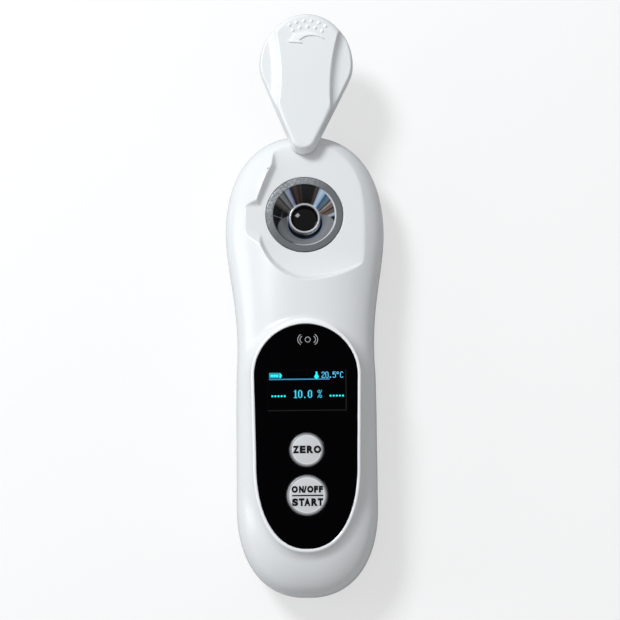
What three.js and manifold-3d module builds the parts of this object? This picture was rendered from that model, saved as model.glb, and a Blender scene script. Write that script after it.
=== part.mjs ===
// A hand-held digital refractometer: a white two-shell body with a black display panel and two
// keys on the handle, and a steel sample dish with a glass prism in the head, under a teardrop
// lid that swings in the plane of the face about a pivot at the head's tip.
// Millimetres. +Z leaves the front face, +Y points at the lid's pivot, +X is right.
// The origin is the middle of the flat back that the instrument lies on.

import * as THREE from 'three';
import { mergeVertices } from 'three/addons/utils/BufferGeometryUtils.js';
import Module from 'manifold-3d';

const wasm = await Module();
wasm.setup();

// Body outline, seen from the front
const bodyLength = 180;
const headWidth = 62;
const waistWidth = 52.8;
const handleWidth = 53.5;
const headEndLength = 40;
const handleEndLength = 35;
const waistFromTip = 85;
const handleFromTip = 112;
const outlineExponent = 2.3;
const waistSkew = 0.85;

// Body sections
const frontHeight = 16;
const backDepth = 15.8;
const partingHeight = 15;
const frontNorthEase = 26;
const frontSouthEase = 30;
const backNorthEase = 30;
const backSouthEase = 24;
const endExponent = 2.2;
const headSectionExponent = 2.1;
const handleSectionExponent = 2.6;
const backSectionExponent = 3;
const wall = 2.2;
const partingGap = 0.3;

// Fits shared by all pieces
const overrun = 3;
const seatGap = 0.1;
const slideGap = 0.3;
const cutterReach = 60;

// Facet counts
const bodyStations = 28;
const frontArcSteps = 20;
const backArcSteps = 18;
const innerStations = 16;
const innerArcSteps = 10;
const outlineSteps = 40;
const roundSteps = 32;
const columnSteps = 16;
const smallRoundSteps = 10;
const screwSteps = 8;

// Lid outline, measured from its pivot
const pivotInset = 4.8;
const neckRadius = 5;
const bulbHalfWidth = 18.5;
const bulbFromPivot = 31;
const bulbOuterLength = 21.2;
const bulbInnerLength = 17;
const lidHeight = 6;
const lidLift = 0.5;
const lidOpenLean = 2.2;
const lidClosedShort = 2;

// Lid shape
const lidDraft = 1.3;
const lidShoulderDrop = 1.4;
const lidEdgeDrop = 0.4;
const lidShoulderInset = 2;
const lidTopInset = 3;
const scoopRadius = 100;
const scoopFromAxis = 9.6;
const scoopCentre = 27;
const scoopDepth = 3.1;
const scoopFillet = 3.2;
const scoopFilletSteps = 5;
const scoopSteps = 16;
const lidSkirtWidth = 2.4;
const lidPocketDepth = 1.6;
const lidPocketFrom = 8;
const lidCoreHalfWidth = 6.5;
const lidCoreFrom = 12;
const lidCoreTo = 42;
const lidTopWall = 1.6;
const gripDotRadius = 0.78;
const gripDotSink = 0.15;
const gripDotSteps = 8;
const gripDotRings = 5;
const gripRowSpacing = 2.9;
const gripDotSpacing = 2.65;
const gripRowRadius = 19;
const gripFirstRowFromTip = 4.9;
const gripRowCounts = [6, 5];

// Lid liner and light seal
const linerThickness = 0.9;
const linerSlack = 0.15;
const sealRingOuter = 14;
const sealRingInner = 12.4;
const sealRingThickness = 0.6;

// Lid pivot, from the lid down into the head
const postRadius = 2;
const postFit = 0.12;
const bushRadius = 2.9;
const bushLength = 6;
const pocketRadius = 3.4;
const postPlay = 0.2;
const postBoreRadius = 1;
const postBoreDepth = 5;
const waveRingInner = 2.25;
const waveRingOuter = 3.1;
const waveRingThickness = 0.2;
const waveHeight = 0.14;
const waveCount = 3;
const waveSteps = 24;
const washerRadius = 3;
const washerThickness = 0.6;
const pivotScrewHeadRadius = 1.9;
const pivotScrewHeadHeight = 1.3;
const pivotScrewRadius = 0.85;
const pivotScrewLength = 4;

// Recess in the head that the lid closes into
const floorDepth = 5;
const stopClearance = 0.35;
const bowlSideClearance = 0.4;
const bowlEndClearance = 1.4;
const bowlDraft = 28;
const bowlSteps = 10;
const swingReach = 60;
const stopDraft = 34;
const stopUpperReach = 8.7;
const stopLowerReach = 23;
const stopUpperTurn = 113;
const thumbNotchTop = 3.8;
const thumbNotchWidth = 11.6;
const thumbRampAngle = 27;
const thumbRampTurn = 8.8;
const floorRampFromWell = 17.5;
const floorRampAngle = 8;

// Sample dish
const wellFromPivot = 29.4;
const dishRadius = 14.8;
const dishMouthRadius = 12.2;
const dishFlange = 1.2;
const dishProud = 0.2;
const dishMouthBevel = 0.3;
const dishDepth = 7.5;
const dishFootRadius = 6.9;
const dishWall = 1.1;
const hubRadius = 8.2;
const hubDepth = 11;
const bezelRadius = 6.05;
const bezelHeight = 2.2;
const bezelRound = 0.35;
const prismRadius = 5.15;
const prismSink = 0.3;
const prismClearance = 0.12;
const dishFit = 0.25;
const gasketThickness = 0.3;
const sealCordRadius = 0.45;
const sealCordDepth = 9.3;
const sealCordSides = 6;
const sealGrooveSlack = 0.12;

// Prism below its round face
const prismDiscDepth = 4.6;
const prismWedgeDepth = 6;
const prismWedgeWidth = 6.4;
const prismWedgeTop = 7.4;
const prismWedgeFoot = 3;

// Optics block under the dish
const blockWidth = 26;
const blockTopLength = 34;
const blockFootLength = 18;
const blockHeight = 10;
const blockGapToHub = 0.2;
const hubPocketDepth = 2.6;
const lightWellWidth = 9;
const lightWellDepth = 8.6;
const lightBoreRadius = 2.6;
const lampRadius = 1.5;
const lampLength = 3.2;
const lampFlangeRadius = 1.9;
const lampFlangeThickness = 0.9;
const lensRadius = 2.2;
const lensEdge = 1;
const lensCrown = 0.7;
const lensFromLamp = 0.4;
const lensCrownSteps = 4;
const sideBoardWidth = 16;
const sideBoardLength = 8.4;
const sideBoardThickness = 1;
const sensorWidth = 9.4;
const sensorLength = 3.4;
const sensorThickness = 1.4;
const sensorSlack = 0.4;
const probeRadius = 0.9;
const probeLength = 2.2;
const opticsEarReach = 3.2;
const opticsEarWidth = 7;
const opticsEarThickness = 2.4;
const opticsScrewOffset = 16.6;
const opticsPostRadius = 2.5;

// Display panel and its raised surround
const panelTopRadius = 19.4;
const panelEndInset = 17.2;
const panelEndLength = 32;
const panelEndHalfWidth = 18.7;
const panelEndExponent = 2.25;
const panelLength = 84.2;
const panelThickness = 1.2;
const panelSink = 0.3;
const panelSlack = 0.15;
const tapeThickness = 0.3;
const tapeInset = 0.6;
const lipWidth = 1.3;
const lipRise = 0.7;
const lipRound = 0.35;
const surroundSpread = 1.9;
const surroundDepth = 7;
const ledgeThickness = 1.7;

// Keys
const zeroKeyRadius = 6.6;
const startKeyRadius = 7.75;
const zeroKeyFromEnd = 53.7;
const startKeyFromEnd = 36.8;
const keySlack = 0.3;
const keyProud = 0.75;
const keyCrown = 0.3;
const keyEdge = 0.45;
const keyFlangeWidth = 0.9;
const keyFlangeThickness = 1.1;
const keyTravel = 0.5;
const keySteps = 28;
const keyEdgeSteps = 2;
const keyCrownShares = [1, 0.5, 0];

// Circuit board and what stands on it
const boardWidth = 34;
const boardThickness = 1.6;
const boardFromEnd = 25;
const boardLength = 71;
const boardDrop = 8.6;
const boardCornerRadius = 4;
const boardCornerSteps = 4;
const boardScrewAcross = 15.2;
const boardScrewInset = 4;
const boardPostRadius = 1.9;
const switchSize = 6;
const switchHeight = 2.6;
const plungerRadius = 1.7;
const plungerRise = 0.8;
const plungerSink = 1.2;
const plungerSlack = 0.2;
const processorSize = 9;
const processorHeight = 1.4;
const processorFromEnd = 67;

// Display behind the panel
const displayFromEnd = 76.3;
const displayGlassWidth = 34.2;
const displayGlassLength = 22.6;
const displayGlassThickness = 1.5;
const displayWindowWidth = 30.6;
const displayWindowLength = 16.6;
const displaySlack = 0.15;
const frameWall = 1.3;
const frameLip = 1.2;
const ribbonWidth = 12;
const ribbonThickness = 0.3;
const ribbonReach = 3.2;
const ribbonFromGlassEnd = 4;
const ribbonSteps = 6;

// Batteries and their bay
const cellRadius = 5.25;
const cellLength = 43.5;
const cellNubRadius = 1.9;
const cellNubHeight = 1;
const cellClearance = 0.35;
const cellSteps = 16;
const bayWall = 1;
const bayFromEnd = 16;
const partitionThickness = 1.2;
const contactThickness = 0.4;
const contactHeight = 8.6;
const contactWidth = 8.4;
const springLength = 3.9;
const springBaseRadius = 3.6;
const springTipRadius = 2;
const springWireRadius = 0.4;
const springTurns = 3;
const springStepsPerTurn = 8;
const springSides = 5;
const bayRibThickness = 1.2;
const bayRibLength = 17;
const bayRibFromAxis = 8;
const bayRibTop = 12;
const bayRibsFromEnd = [34, 54];

// Battery door, which slides off over the handle's end
const doorHalfWidth = 14.2;
const doorThickness = 2;
const doorFromEnd = 77;
const doorEndRise = 7;
const tongueReach = 1.4;
const tongueRoot = 1.1;
const tongueUpstand = 1.6;
const tongueThickness = 0.9;
const tongueLength = 7;
const tonguesFromEnd = [30, 50];
const latchHalfWidth = 4;
const latchRoot = 2;
const latchReach = 2.4;
const latchThickness = 1;
const gripGrooves = 5;
const gripGroovePitch = 2.2;
const gripGrooveWidth = 1;
const gripGrooveDepth = 0.6;
const gripGrooveHalfLength = 8;
const gripGroovesFromDoorEdge = 8;

// Case screws
const caseScrewAcross = 19.5;
const caseScrewFromTip = 20;
const caseScrewFromEnd = 24;
const caseScrewRadius = 1.3;
const caseScrewHeadRadius = 2.3;
const caseScrewHeadHeight = 1.7;
const caseScrewLength = 14;
const caseScrewLevel = 5.6;
const columnRadius = 3.4;
const screwSlack = 0.15;
const driveSlotWidth = 0.7;
const driveSlotDepth = 0.9;
const driveSlotShare = 0.62;

// Small inner screws
const smallScrewRadius = 0.9;
const smallScrewHeadRadius = 1.8;
const smallScrewHeadHeight = 1.2;
const smallScrewLength = 5;

// Parting seal
const sealInset = 0.7;
const sealWidth = 0.8;
const sealHeight = 1.3;
const grooveSlack = 0.12;

// Places worked out from the sizes above
const northEnd = bodyLength / 2;
const southEnd = -bodyLength / 2;
const crest = partingHeight + frontHeight;
const headCentreY = northEnd - headEndLength;
const handleCentreY = southEnd + handleEndLength;
const waistY = northEnd - waistFromTip;
const handleY = northEnd - handleFromTip;
const pivotY = northEnd - pivotInset;
const wellY = pivotY - wellFromPivot;
const floorZ = crest - floorDepth;
const frontFoot = partingHeight + partingGap / 2;
const backRim = partingHeight - partingGap / 2;
const lidFoot = floorZ + lidLift;
const lidTop = lidFoot + lidHeight;
const linerTop = lidFoot + lidPocketDepth;
const linerFoot = linerTop - linerThickness;
const bushFoot = floorZ - bushLength;
const postFoot = bushFoot - postPlay;
const washerFoot = postFoot - washerThickness;
const rampFoldY = wellY - floorRampFromWell;
const dishTop = floorZ + dishProud;
const dishFlangeFoot = dishTop - dishFlange;
const dishSeat = dishFlangeFoot - gasketThickness;
const dishFloor = dishTop - dishDepth;
const hubFoot = dishTop - hubDepth;
const bezelTop = dishFloor + bezelHeight;
const prismTop = bezelTop - prismSink;
const prismDiscFoot = prismTop - prismDiscDepth;
const prismBore = prismRadius + prismClearance;
const blockTop = hubFoot - blockGapToHub + hubPocketDepth;
const blockFoot = blockTop - blockHeight;
const earFoot = blockTop - opticsEarThickness;
const lipTop = crest + lipRise;
const panelTop = lipTop - panelSink;
const panelFoot = panelTop - panelThickness;
const ledgeTop = panelFoot - tapeThickness;
const ledgeFoot = ledgeTop - ledgeThickness;
const panelSouth = southEnd + panelEndInset;
const boardFoot = panelFoot - boardDrop;
const boardTop = boardFoot + boardThickness;
const boardSouth = southEnd + boardFromEnd;
const boardNorth = boardSouth + boardLength;
const displayY = southEnd + displayFromEnd;
const displayFoot = ledgeFoot - displayGlassThickness;
const keyFoot = ledgeFoot - keyFlangeThickness;
const switchTop = boardTop + switchHeight;
const plungerTop = switchTop + plungerRise;
const zeroKey = { radius: zeroKeyRadius, y: southEnd + zeroKeyFromEnd };
const startKey = { radius: startKeyRadius, y: southEnd + startKeyFromEnd };
const cellX = partitionThickness / 2 + cellClearance + cellRadius;
const cellZ = doorThickness + cellClearance + cellRadius;
const bayHalfWidth = cellX + cellRadius + cellClearance;
const bayTop = cellZ + cellRadius + cellClearance;
const baySouth = southEnd + bayFromEnd;
const bayNorth = baySouth + 2 * contactThickness + springLength + cellLength + cellNubHeight + seatGap;
const doorNorth = southEnd + doorFromEnd;
const boardScrewYs = [boardSouth + boardScrewInset, boardNorth - boardScrewInset];
const boardScrewPlaces = mirroredPlaces(boardScrewAcross, ...boardScrewYs);
const caseScrewYs = [southEnd + caseScrewFromEnd, northEnd - caseScrewFromTip];
const caseScrewPlaces = mirroredPlaces(caseScrewAcross, ...caseScrewYs);
const opticsScrewPlaces = mirroredPlaces(opticsScrewOffset, wellY);

// Materials, coloured from the photograph
const whitePlastic = material(0xe9edf1, 0.28, 0);
const lidPlastic = material(0xe6eaee, 0.3, 0);
const blackAcrylic = material(0x06070a, 0.08, 0);
const darkPlastic = material(0x1c1d20, 0.55, 0);
const keyPlastic = material(0xb9bcc0, 0.38, 0.25);
const polishedSteel = material(0xa9acb0, 0.14, 1);
const screwSteel = material(0x9a9da1, 0.3, 1);
const prismGlass = material(0x0a0b0e, 0.03, 0);
const lensGlass = material(0xd8e4ea, 0.05, 0);
const sealRubber = material(0x2b2c2e, 0.8, 0);
const boardGreen = material(0x1f5a3a, 0.5, 0);
const displayGlass = material(0x0b1016, 0.1, 0);
const cellJacket = material(0x3f5e86, 0.4, 0.1);
const nickelPlate = material(0xc4c6c2, 0.25, 1);
const ribbonFilm = material(0xb8752c, 0.45, 0);

function material(color, roughness, metalness) {
  return new THREE.MeshStandardMaterial({ color, roughness, metalness });
}

function mirroredPlaces(across, ...ys) {
  return [-1, 1].flatMap((side) => ys.map((y) => [side * across, y]));
}

// Turns a geometry into a solid: shared corners are merged and collapsed faces are dropped.
function solidOf(geometry) {
  const loose = geometry.index ? geometry.toNonIndexed() : geometry;
  const bare = new THREE.BufferGeometry();
  bare.setAttribute('position', loose.getAttribute('position').clone());
  const merged = mergeVertices(bare);
  const corners = merged.index.array;
  const kept = [];
  for (let i = 0; i < corners.length; i += 3) {
    const [a, b, c] = corners.slice(i, i + 3);
    if (a !== b && b !== c && c !== a) kept.push(a, b, c);
  }
  const triVerts = new Uint32Array(kept);
  const vertProperties = new Float32Array(merged.attributes.position.array);
  return new wasm.Manifold(new wasm.Mesh({ numProp: 3, vertProperties, triVerts }));
}

function geometryOf(solid) {
  const mesh = solid.getMesh();
  const geometry = new THREE.BufferGeometry();
  geometry.setAttribute('position', new THREE.BufferAttribute(mesh.vertProperties, 3));
  geometry.setIndex(new THREE.BufferAttribute(mesh.triVerts, 1));
  return geometry;
}

function placed(solid, place) {
  return solidOf(geometryOf(solid).applyMatrix4(place));
}

function moved(solid, x, y, z) {
  return placed(solid, new THREE.Matrix4().makeTranslation(x, y, z));
}

function joined(...solids) {
  return solids.reduce((whole, next) => whole.add(next));
}

function cut(solid, ...tools) {
  return tools.reduce((left, tool) => left.subtract(tool), solid);
}

// A box between two corners.
function block(x0, x1, y0, y1, z0, z1) {
  const geometry = new THREE.BoxGeometry(x1 - x0, y1 - y0, z1 - z0);
  geometry.translate((x0 + x1) / 2, (y0 + y1) / 2, (z0 + z1) / 2);
  return solidOf(geometry);
}

// A box centred over a point, by its half sizes.
function centredBlock(halfX, halfY, z0, z1, x = 0, y = 0) {
  return block(x - halfX, x + halfX, y - halfY, y + halfY, z0, z1);
}

// An upright round bar.
function bar(radius, z0, z1, x = 0, y = 0, steps = smallRoundSteps) {
  const geometry = new THREE.CylinderGeometry(radius, radius, z1 - z0, steps);
  geometry.rotateX(Math.PI / 2);
  geometry.translate(x, y, (z0 + z1) / 2);
  return solidOf(geometry);
}

// A profile of [radius, height] turned about an upright axis; a ring's profile closes on itself.
function turned(profile, x = 0, y = 0, steps = roundSteps) {
  const points = profile.map(([r, z]) => new THREE.Vector2(r, z));
  const geometry = new THREE.LatheGeometry(points, steps);
  geometry.rotateX(Math.PI / 2);
  geometry.translate(x, y, 0);
  const solid = solidOf(geometry);
  if (solid.volume() > 0) return solid;
  return turned([...profile].reverse(), x, y, steps);
}

function washer(inner, outer, z0, z1, x = 0, y = 0, steps = columnSteps) {
  return turned([[inner, z0], [outer, z0], [outer, z1], [inner, z1], [inner, z0]], x, y, steps);
}

// A flat outline of [x, y] points drawn up from z0 to z1.
function slab(outline, z0, z1) {
  const shape = new THREE.Shape(outline.map(([x, y]) => new THREE.Vector2(x, y)));
  const geometry = new THREE.ExtrudeGeometry(shape, { depth: z1 - z0, bevelEnabled: false });
  geometry.translate(0, 0, z0);
  return solidOf(geometry);
}

// An outline of [y, z] points drawn along X from x0 to x1.
function sideSlab(outline, x0, x1) {
  const shape = new THREE.Shape(outline.map(([y, z]) => new THREE.Vector2(y, z)));
  const geometry = new THREE.ExtrudeGeometry(shape, { depth: x1 - x0, bevelEnabled: false });
  geometry.rotateY(Math.PI / 2);
  geometry.rotateX(Math.PI / 2);
  geometry.translate(x0, 0, 0);
  return solidOf(geometry);
}

// A skin over rings of equally many points, closed at both ends by a fan, or run round as a hoop.
function loft(rings, hoop = false) {
  const count = rings[0].length;
  const positions = [];
  const push = (...points) => points.forEach((p) => positions.push(p.x, p.y, p.z));
  const strips = hoop ? rings.length : rings.length - 1;
  for (let i = 0; i < strips; i += 1) {
    const next = rings[(i + 1) % rings.length];
    for (let j = 0; j < count; j += 1) {
      const k = (j + 1) % count;
      push(rings[i][j], rings[i][k], next[k]);
      push(rings[i][j], next[k], next[j]);
    }
  }
  const capFan = (ring, flip) => {
    const centre = ring.reduce((sum, p) => sum.add(p), new THREE.Vector3()).divideScalar(count);
    for (let j = 0; j < count; j += 1) {
      const k = (j + 1) % count;
      if (flip) push(centre, ring[k], ring[j]);
      else push(centre, ring[j], ring[k]);
    }
  };
  if (!hoop) {
    capFan(rings[0], true);
    capFan(rings[rings.length - 1], false);
  }
  const geometry = new THREE.BufferGeometry();
  geometry.setAttribute('position', new THREE.Float32BufferAttribute(positions, 3));
  const solid = solidOf(geometry);
  if (solid.volume() > 0) return solid;
  return loft([...rings].reverse(), hoop);
}

// A loft of flat outlines, each a list of [x, y] points, at rising levels.
function levelLoft(levels) {
  return loft(levels.map(([z, outline]) => outline.map(([x, y]) => new THREE.Vector3(x, y, z))));
}

function mix(a, b, share) {
  return a + (b - a) * share;
}

function radians(degrees) {
  return THREE.MathUtils.degToRad(degrees);
}

function easeShare(share) {
  return (1 - Math.cos(Math.PI * Math.min(1, Math.max(0, share)))) / 2;
}

function signedPower(value, power) {
  return Math.sign(value) * Math.abs(value) ** power;
}

// How much is left of a size at a share of the way to a rounded end, where it reaches zero.
function endShare(share, exponent) {
  const t = Math.min(1, Math.max(0, share));
  return (1 - t ** exponent) ** (1 / exponent);
}

// Half the body's width at y, for the outer skin or for one lying an inset within it.
function halfWidthAt(y, inset = 0) {
  const toWaist = Math.max(0, (headCentreY - y) / (headCentreY - waistY)) ** waistSkew;
  const toHandle = (waistY - y) / (waistY - handleY);
  const head = mix(headWidth / 2, waistWidth / 2, easeShare(toWaist));
  const half = y > waistY ? head : mix(waistWidth / 2, handleWidth / 2, easeShare(toHandle));
  const north = endShare((y - headCentreY) / (headEndLength - inset), outlineExponent);
  const south = endShare((handleCentreY - y) / (handleEndLength - inset), outlineExponent);
  return (half - inset) * north * south;
}

// Height of the front above the parting, or depth of the back below it, at y.
function heightAt(y, full, northEase, southEase, inset = 0) {
  const north = endShare((y - northEnd + northEase) / (northEase - inset), endExponent);
  const south = endShare((southEnd + southEase - y) / (southEase - inset), endExponent);
  return (full - inset) * north * south;
}

function sectionExponentAt(y) {
  const toWaist = (headCentreY - y) / (headCentreY - waistY);
  return mix(headSectionExponent, handleSectionExponent, easeShare(toWaist));
}

// Stations along the body, closer together towards its ends.
function stations(count, inset = 0) {
  const half = bodyLength / 2 - inset;
  return Array.from({ length: count + 1 }, (_, i) => -half * Math.cos((Math.PI * i) / count));
}

// A half of the body as a loft of half superellipses, closed along its flat rim.
function halfBody(inset, stationCount, arcSteps, sectionAt) {
  return loft(stations(stationCount, inset).map((y) => {
    const half = halfWidthAt(y, inset);
    const { exponent, level } = sectionAt(y);
    return Array.from({ length: arcSteps + 1 }, (_, i) => {
      const angle = (Math.PI * i) / arcSteps;
      const share = Math.abs(Math.sin(angle)) ** (2 / exponent);
      return new THREE.Vector3(half * signedPower(Math.cos(angle), 2 / exponent), y, level(share));
    });
  }));
}

function frontHalf(inset, rimZ, stationCount, arcSteps) {
  return halfBody(inset, stationCount, arcSteps, (y) => {
    const height = heightAt(y, frontHeight, frontNorthEase, frontSouthEase, inset);
    const exponent = sectionExponentAt(y);
    return { exponent, level: (share) => Math.max(rimZ, partingHeight + height * share) };
  });
}

function backHalf(inset, rimZ, flatZ, stationCount, arcSteps) {
  return halfBody(inset, stationCount, arcSteps, (y) => {
    const depth = heightAt(y, backDepth, backNorthEase, backSouthEase, inset);
    const exponent = backSectionExponent;
    const level = (share) => Math.min(rimZ, Math.max(flatZ, partingHeight - depth * share));
    return { exponent, level };
  });
}

// The body's outline in the parting plane, an inset within its edge.
function rimOutline(inset) {
  const ys = stations(bodyStations, inset).slice(1, -1);
  const right = ys.map((y) => [halfWidthAt(y, inset), y]);
  const left = [...ys].reverse().map((y) => [-halfWidthAt(y, inset), y]);
  return [[0, southEnd + inset], ...right, [0, northEnd - inset], ...left];
}

function rimRing(nearInset, farInset, reach) {
  const ring = (inset, half) => slab(rimOutline(inset), partingHeight - half, partingHeight + half);
  return cut(ring(nearInset, reach), ring(farInset, reach + overrun));
}

function sealGroove() {
  const farSide = sealInset + sealWidth + grooveSlack;
  return rimRing(sealInset - grooveSlack, farSide, sealHeight / 2 + grooveSlack);
}

// The panel's outline grown by an offset: a round top, slightly tapered sides and a long round end.
function panelOutline(offset) {
  const topY = panelSouth + panelLength - panelTopRadius;
  const endY = panelSouth + panelEndLength;
  const half = outlineSteps / 2;
  const turns = Array.from({ length: half + 1 }, (_, i) => (Math.PI * i) / half);
  const top = turns.map((angle) => {
    const reach = panelTopRadius + offset;
    return [reach * Math.cos(angle), topY + reach * Math.sin(angle)];
  });
  const end = turns.map((angle) => {
    const power = 2 / panelEndExponent;
    const x = (panelEndHalfWidth + offset) * -signedPower(Math.cos(angle), power);
    return [x, endY - (panelEndLength + offset) * Math.abs(Math.sin(angle)) ** power];
  });
  return [...top, ...end];
}

// The point of an ellipse of half sizes a and b, centred at [0, t], whose outward normal has this
// angle, and how far the ellipse reaches along that normal.
function supportPoint(a, b, t, angle) {
  const c = Math.cos(angle);
  const s = Math.sin(angle);
  const reach = Math.hypot(a * c, b * s);
  return { u: (a * a * c) / reach, t: t + (b * b * s) / reach, support: reach + t * s };
}

// A point of the lid's outline by its normal's angle: the hull of the neck's circle and the bulb,
// grown by an offset. u runs across the lid and t along it, from the pivot.
function lidPoint(angle, offset) {
  const bulbLength = Math.sin(angle) > 0 ? bulbOuterLength : bulbInnerLength;
  const neck = supportPoint(neckRadius, neckRadius, 0, angle);
  const bulb = supportPoint(bulbHalfWidth, bulbLength, bulbFromPivot, angle);
  const edge = bulb.support > neck.support ? bulb : neck;
  return [edge.u + offset * Math.cos(angle), edge.t + offset * Math.sin(angle)];
}

function lidOutline(offset) {
  return Array.from({ length: outlineSteps }, (_, i) => {
    return lidPoint((2 * Math.PI * (i + 1 / 2)) / outlineSteps, offset);
  });
}

// The normal's angle along the lid's straight flank, where neck and bulb share a tangent.
function flankAngle() {
  let low = -Math.PI / 2;
  let high = 0;
  while (high - low > Number.EPSILON * outlineSteps) {
    const middle = (low + high) / 2;
    const neck = supportPoint(neckRadius, neckRadius, 0, middle).support;
    const bulb = supportPoint(bulbHalfWidth, bulbInnerLength, bulbFromPivot, middle).support;
    if (bulb > neck) high = middle;
    else low = middle;
  }
  return low;
}

// Where a point of the lid lies on the face when the lid is closed.
function closedPlace([u, t]) {
  const heading = radians(180 - lidClosedShort);
  const c = Math.cos(heading);
  const s = Math.sin(heading);
  return [u * c + t * s, pivotY - u * s + t * c];
}

// Moves each edge of a convex, counter-clockwise outline inwards and meets the moved edges again.
function shrunk(outline, inset) {
  const count = outline.length;
  return outline.map((point, i) => {
    const here = new THREE.Vector2(...point);
    const inEdge = here.clone().sub(new THREE.Vector2(...outline[(i + count - 1) % count])).normalize();
    const outEdge = new THREE.Vector2(...outline[(i + 1) % count]).sub(here).normalize();
    const inward = new THREE.Vector2(-inEdge.y - outEdge.y, inEdge.x + outEdge.x).normalize();
    const reach = inset / inward.dot(new THREE.Vector2(-inEdge.y, inEdge.x));
    return here.addScaledVector(inward, reach).toArray();
  });
}

// A block whose walls lean outwards or inwards; its outline has no offset at the recess floor.
function leaningBlock(outlineAt, z0, z1, draft) {
  const lean = Math.tan(radians(draft));
  return levelLoft([z0, z1].map((z) => [z, outlineAt((z - floorZ) * lean)]));
}

// The bowl round the closed lid and its swing, open to the east and north.
function bowlTool() {
  const sideReach = bulbHalfWidth + bowlSideClearance;
  const endReach = bulbOuterLength + bowlEndClearance;
  const swingRadius = bulbFromPivot + endReach;
  const shares = Array.from({ length: bowlSteps + 1 }, (_, i) => i / bowlSteps);
  const outlineAt = (offset) => {
    const roundEnd = shares.map((share) => {
      const angle = (Math.PI / 2) * share;
      const u = (sideReach + offset) * Math.cos(angle);
      return [u, bulbFromPivot + (endReach + offset) * Math.sin(angle)];
    });
    const swing = shares.slice(1).map((share) => {
      const angle = radians(swingReach) * share;
      return [-(swingRadius + offset) * Math.sin(angle), (swingRadius + offset) * Math.cos(angle)];
    });
    const far = cutterReach + offset;
    return [[sideReach + offset, -far], ...roundEnd, ...swing, [-far, 0], [-far, -far]].map(closedPlace);
  };
  return leaningBlock(outlineAt, floorZ, crest + overrun, bowlDraft);
}

// The thumb notch west of the bowl, with a shallow ramp at its south.
function thumbNotchTool() {
  const top = crest + overrun;
  const run = (top - floorZ) / Math.tan(radians(thumbRampAngle));
  const profile = [[0, floorZ], [cutterReach, floorZ], [cutterReach, top], [-run, top]];
  const wedge = sideSlab(profile, -cutterReach, cutterReach);
  const footY = wellY + thumbNotchTop - thumbNotchWidth;
  const place = new THREE.Matrix4().makeTranslation(-bulbHalfWidth, footY, 0);
  return placed(wedge, place.multiply(new THREE.Matrix4().makeRotationZ(-radians(thumbRampTurn))));
}

// The crescent left standing west of the lid, whose slanted wall the closed lid rests against.
function stopCrescent() {
  const edge = lidPoint(flankAngle(), stopClearance);
  const slope = Math.tan(-flankAngle());
  const onFlank = (t) => closedPlace([edge[0] + (t - edge[1]) * slope, t]);
  const upper = onFlank(stopUpperReach);
  const lower = onFlank(stopLowerReach);
  const notchTop = wellY + thumbNotchTop;
  const cornerX = mix(upper[0], lower[0], (upper[1] - notchTop) / (upper[1] - lower[1]));
  const turn = radians(stopUpperTurn);
  const away = [upper[0] + cutterReach * Math.cos(turn), upper[1] + cutterReach * Math.sin(turn)];
  const corners = [upper, away, [-cutterReach, away[1]], [-cutterReach, notchTop], [cornerX, notchTop]];
  return leaningBlock((inset) => shrunk(corners, inset), floorZ - overrun, crest + 2 * overrun, stopDraft);
}

// A wedge below a plane that rises by the ramp's angle from a fold, towards +Y or -Y.
function rampWedge(foldAt, direction, footZ) {
  const far = foldAt + direction * cutterReach;
  const rise = cutterReach * Math.tan(radians(floorRampAngle));
  const profile = [[foldAt, footZ], [far, footZ + rise], [far, footZ - overrun], [foldAt, footZ - overrun]];
  return sideSlab(profile, -cutterReach, cutterReach);
}

function recessTool() {
  return cut(joined(bowlTool(), thumbNotchTool()), stopCrescent(), rampWedge(rampFoldY, -1, floorZ));
}

// The dish's cone, a wall's thickness outside its polished face.
function coneUnderside() {
  const run = dishMouthRadius - dishFootRadius;
  const rise = dishDepth - dishMouthBevel;
  const length = Math.hypot(run, rise);
  const footRadius = dishFootRadius + (dishWall * rise) / length;
  const footZ = dishFloor - (dishWall * run) / length;
  return {
    radiusAt: (z) => footRadius + ((z - footZ) * run) / rise,
    heightAt: (radius) => footZ + ((radius - footRadius) * rise) / run,
  };
}

// A screw with its head below zero and its shank above.
function screw(headRadius, headHeight, shankRadius, shankLength) {
  return joined(
    bar(headRadius, -headHeight, 0, 0, 0, screwSteps),
    bar(shankRadius, -headHeight / 2, shankLength, 0, 0, screwSteps),
  );
}

// A case screw, whose head is seen and has a cross recess.
function crossScrew(headRadius, headHeight, shankRadius, shankLength) {
  const solid = screw(headRadius, headHeight, shankRadius, shankLength);
  const half = headRadius * driveSlotShare;
  const slotTop = driveSlotDepth - headHeight;
  const slotFoot = -headHeight - overrun;
  return cut(
    solid,
    centredBlock(half, driveSlotWidth / 2, slotFoot, slotTop),
    centredBlock(driveSlotWidth / 2, half, slotFoot, slotTop),
  );
}

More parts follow.
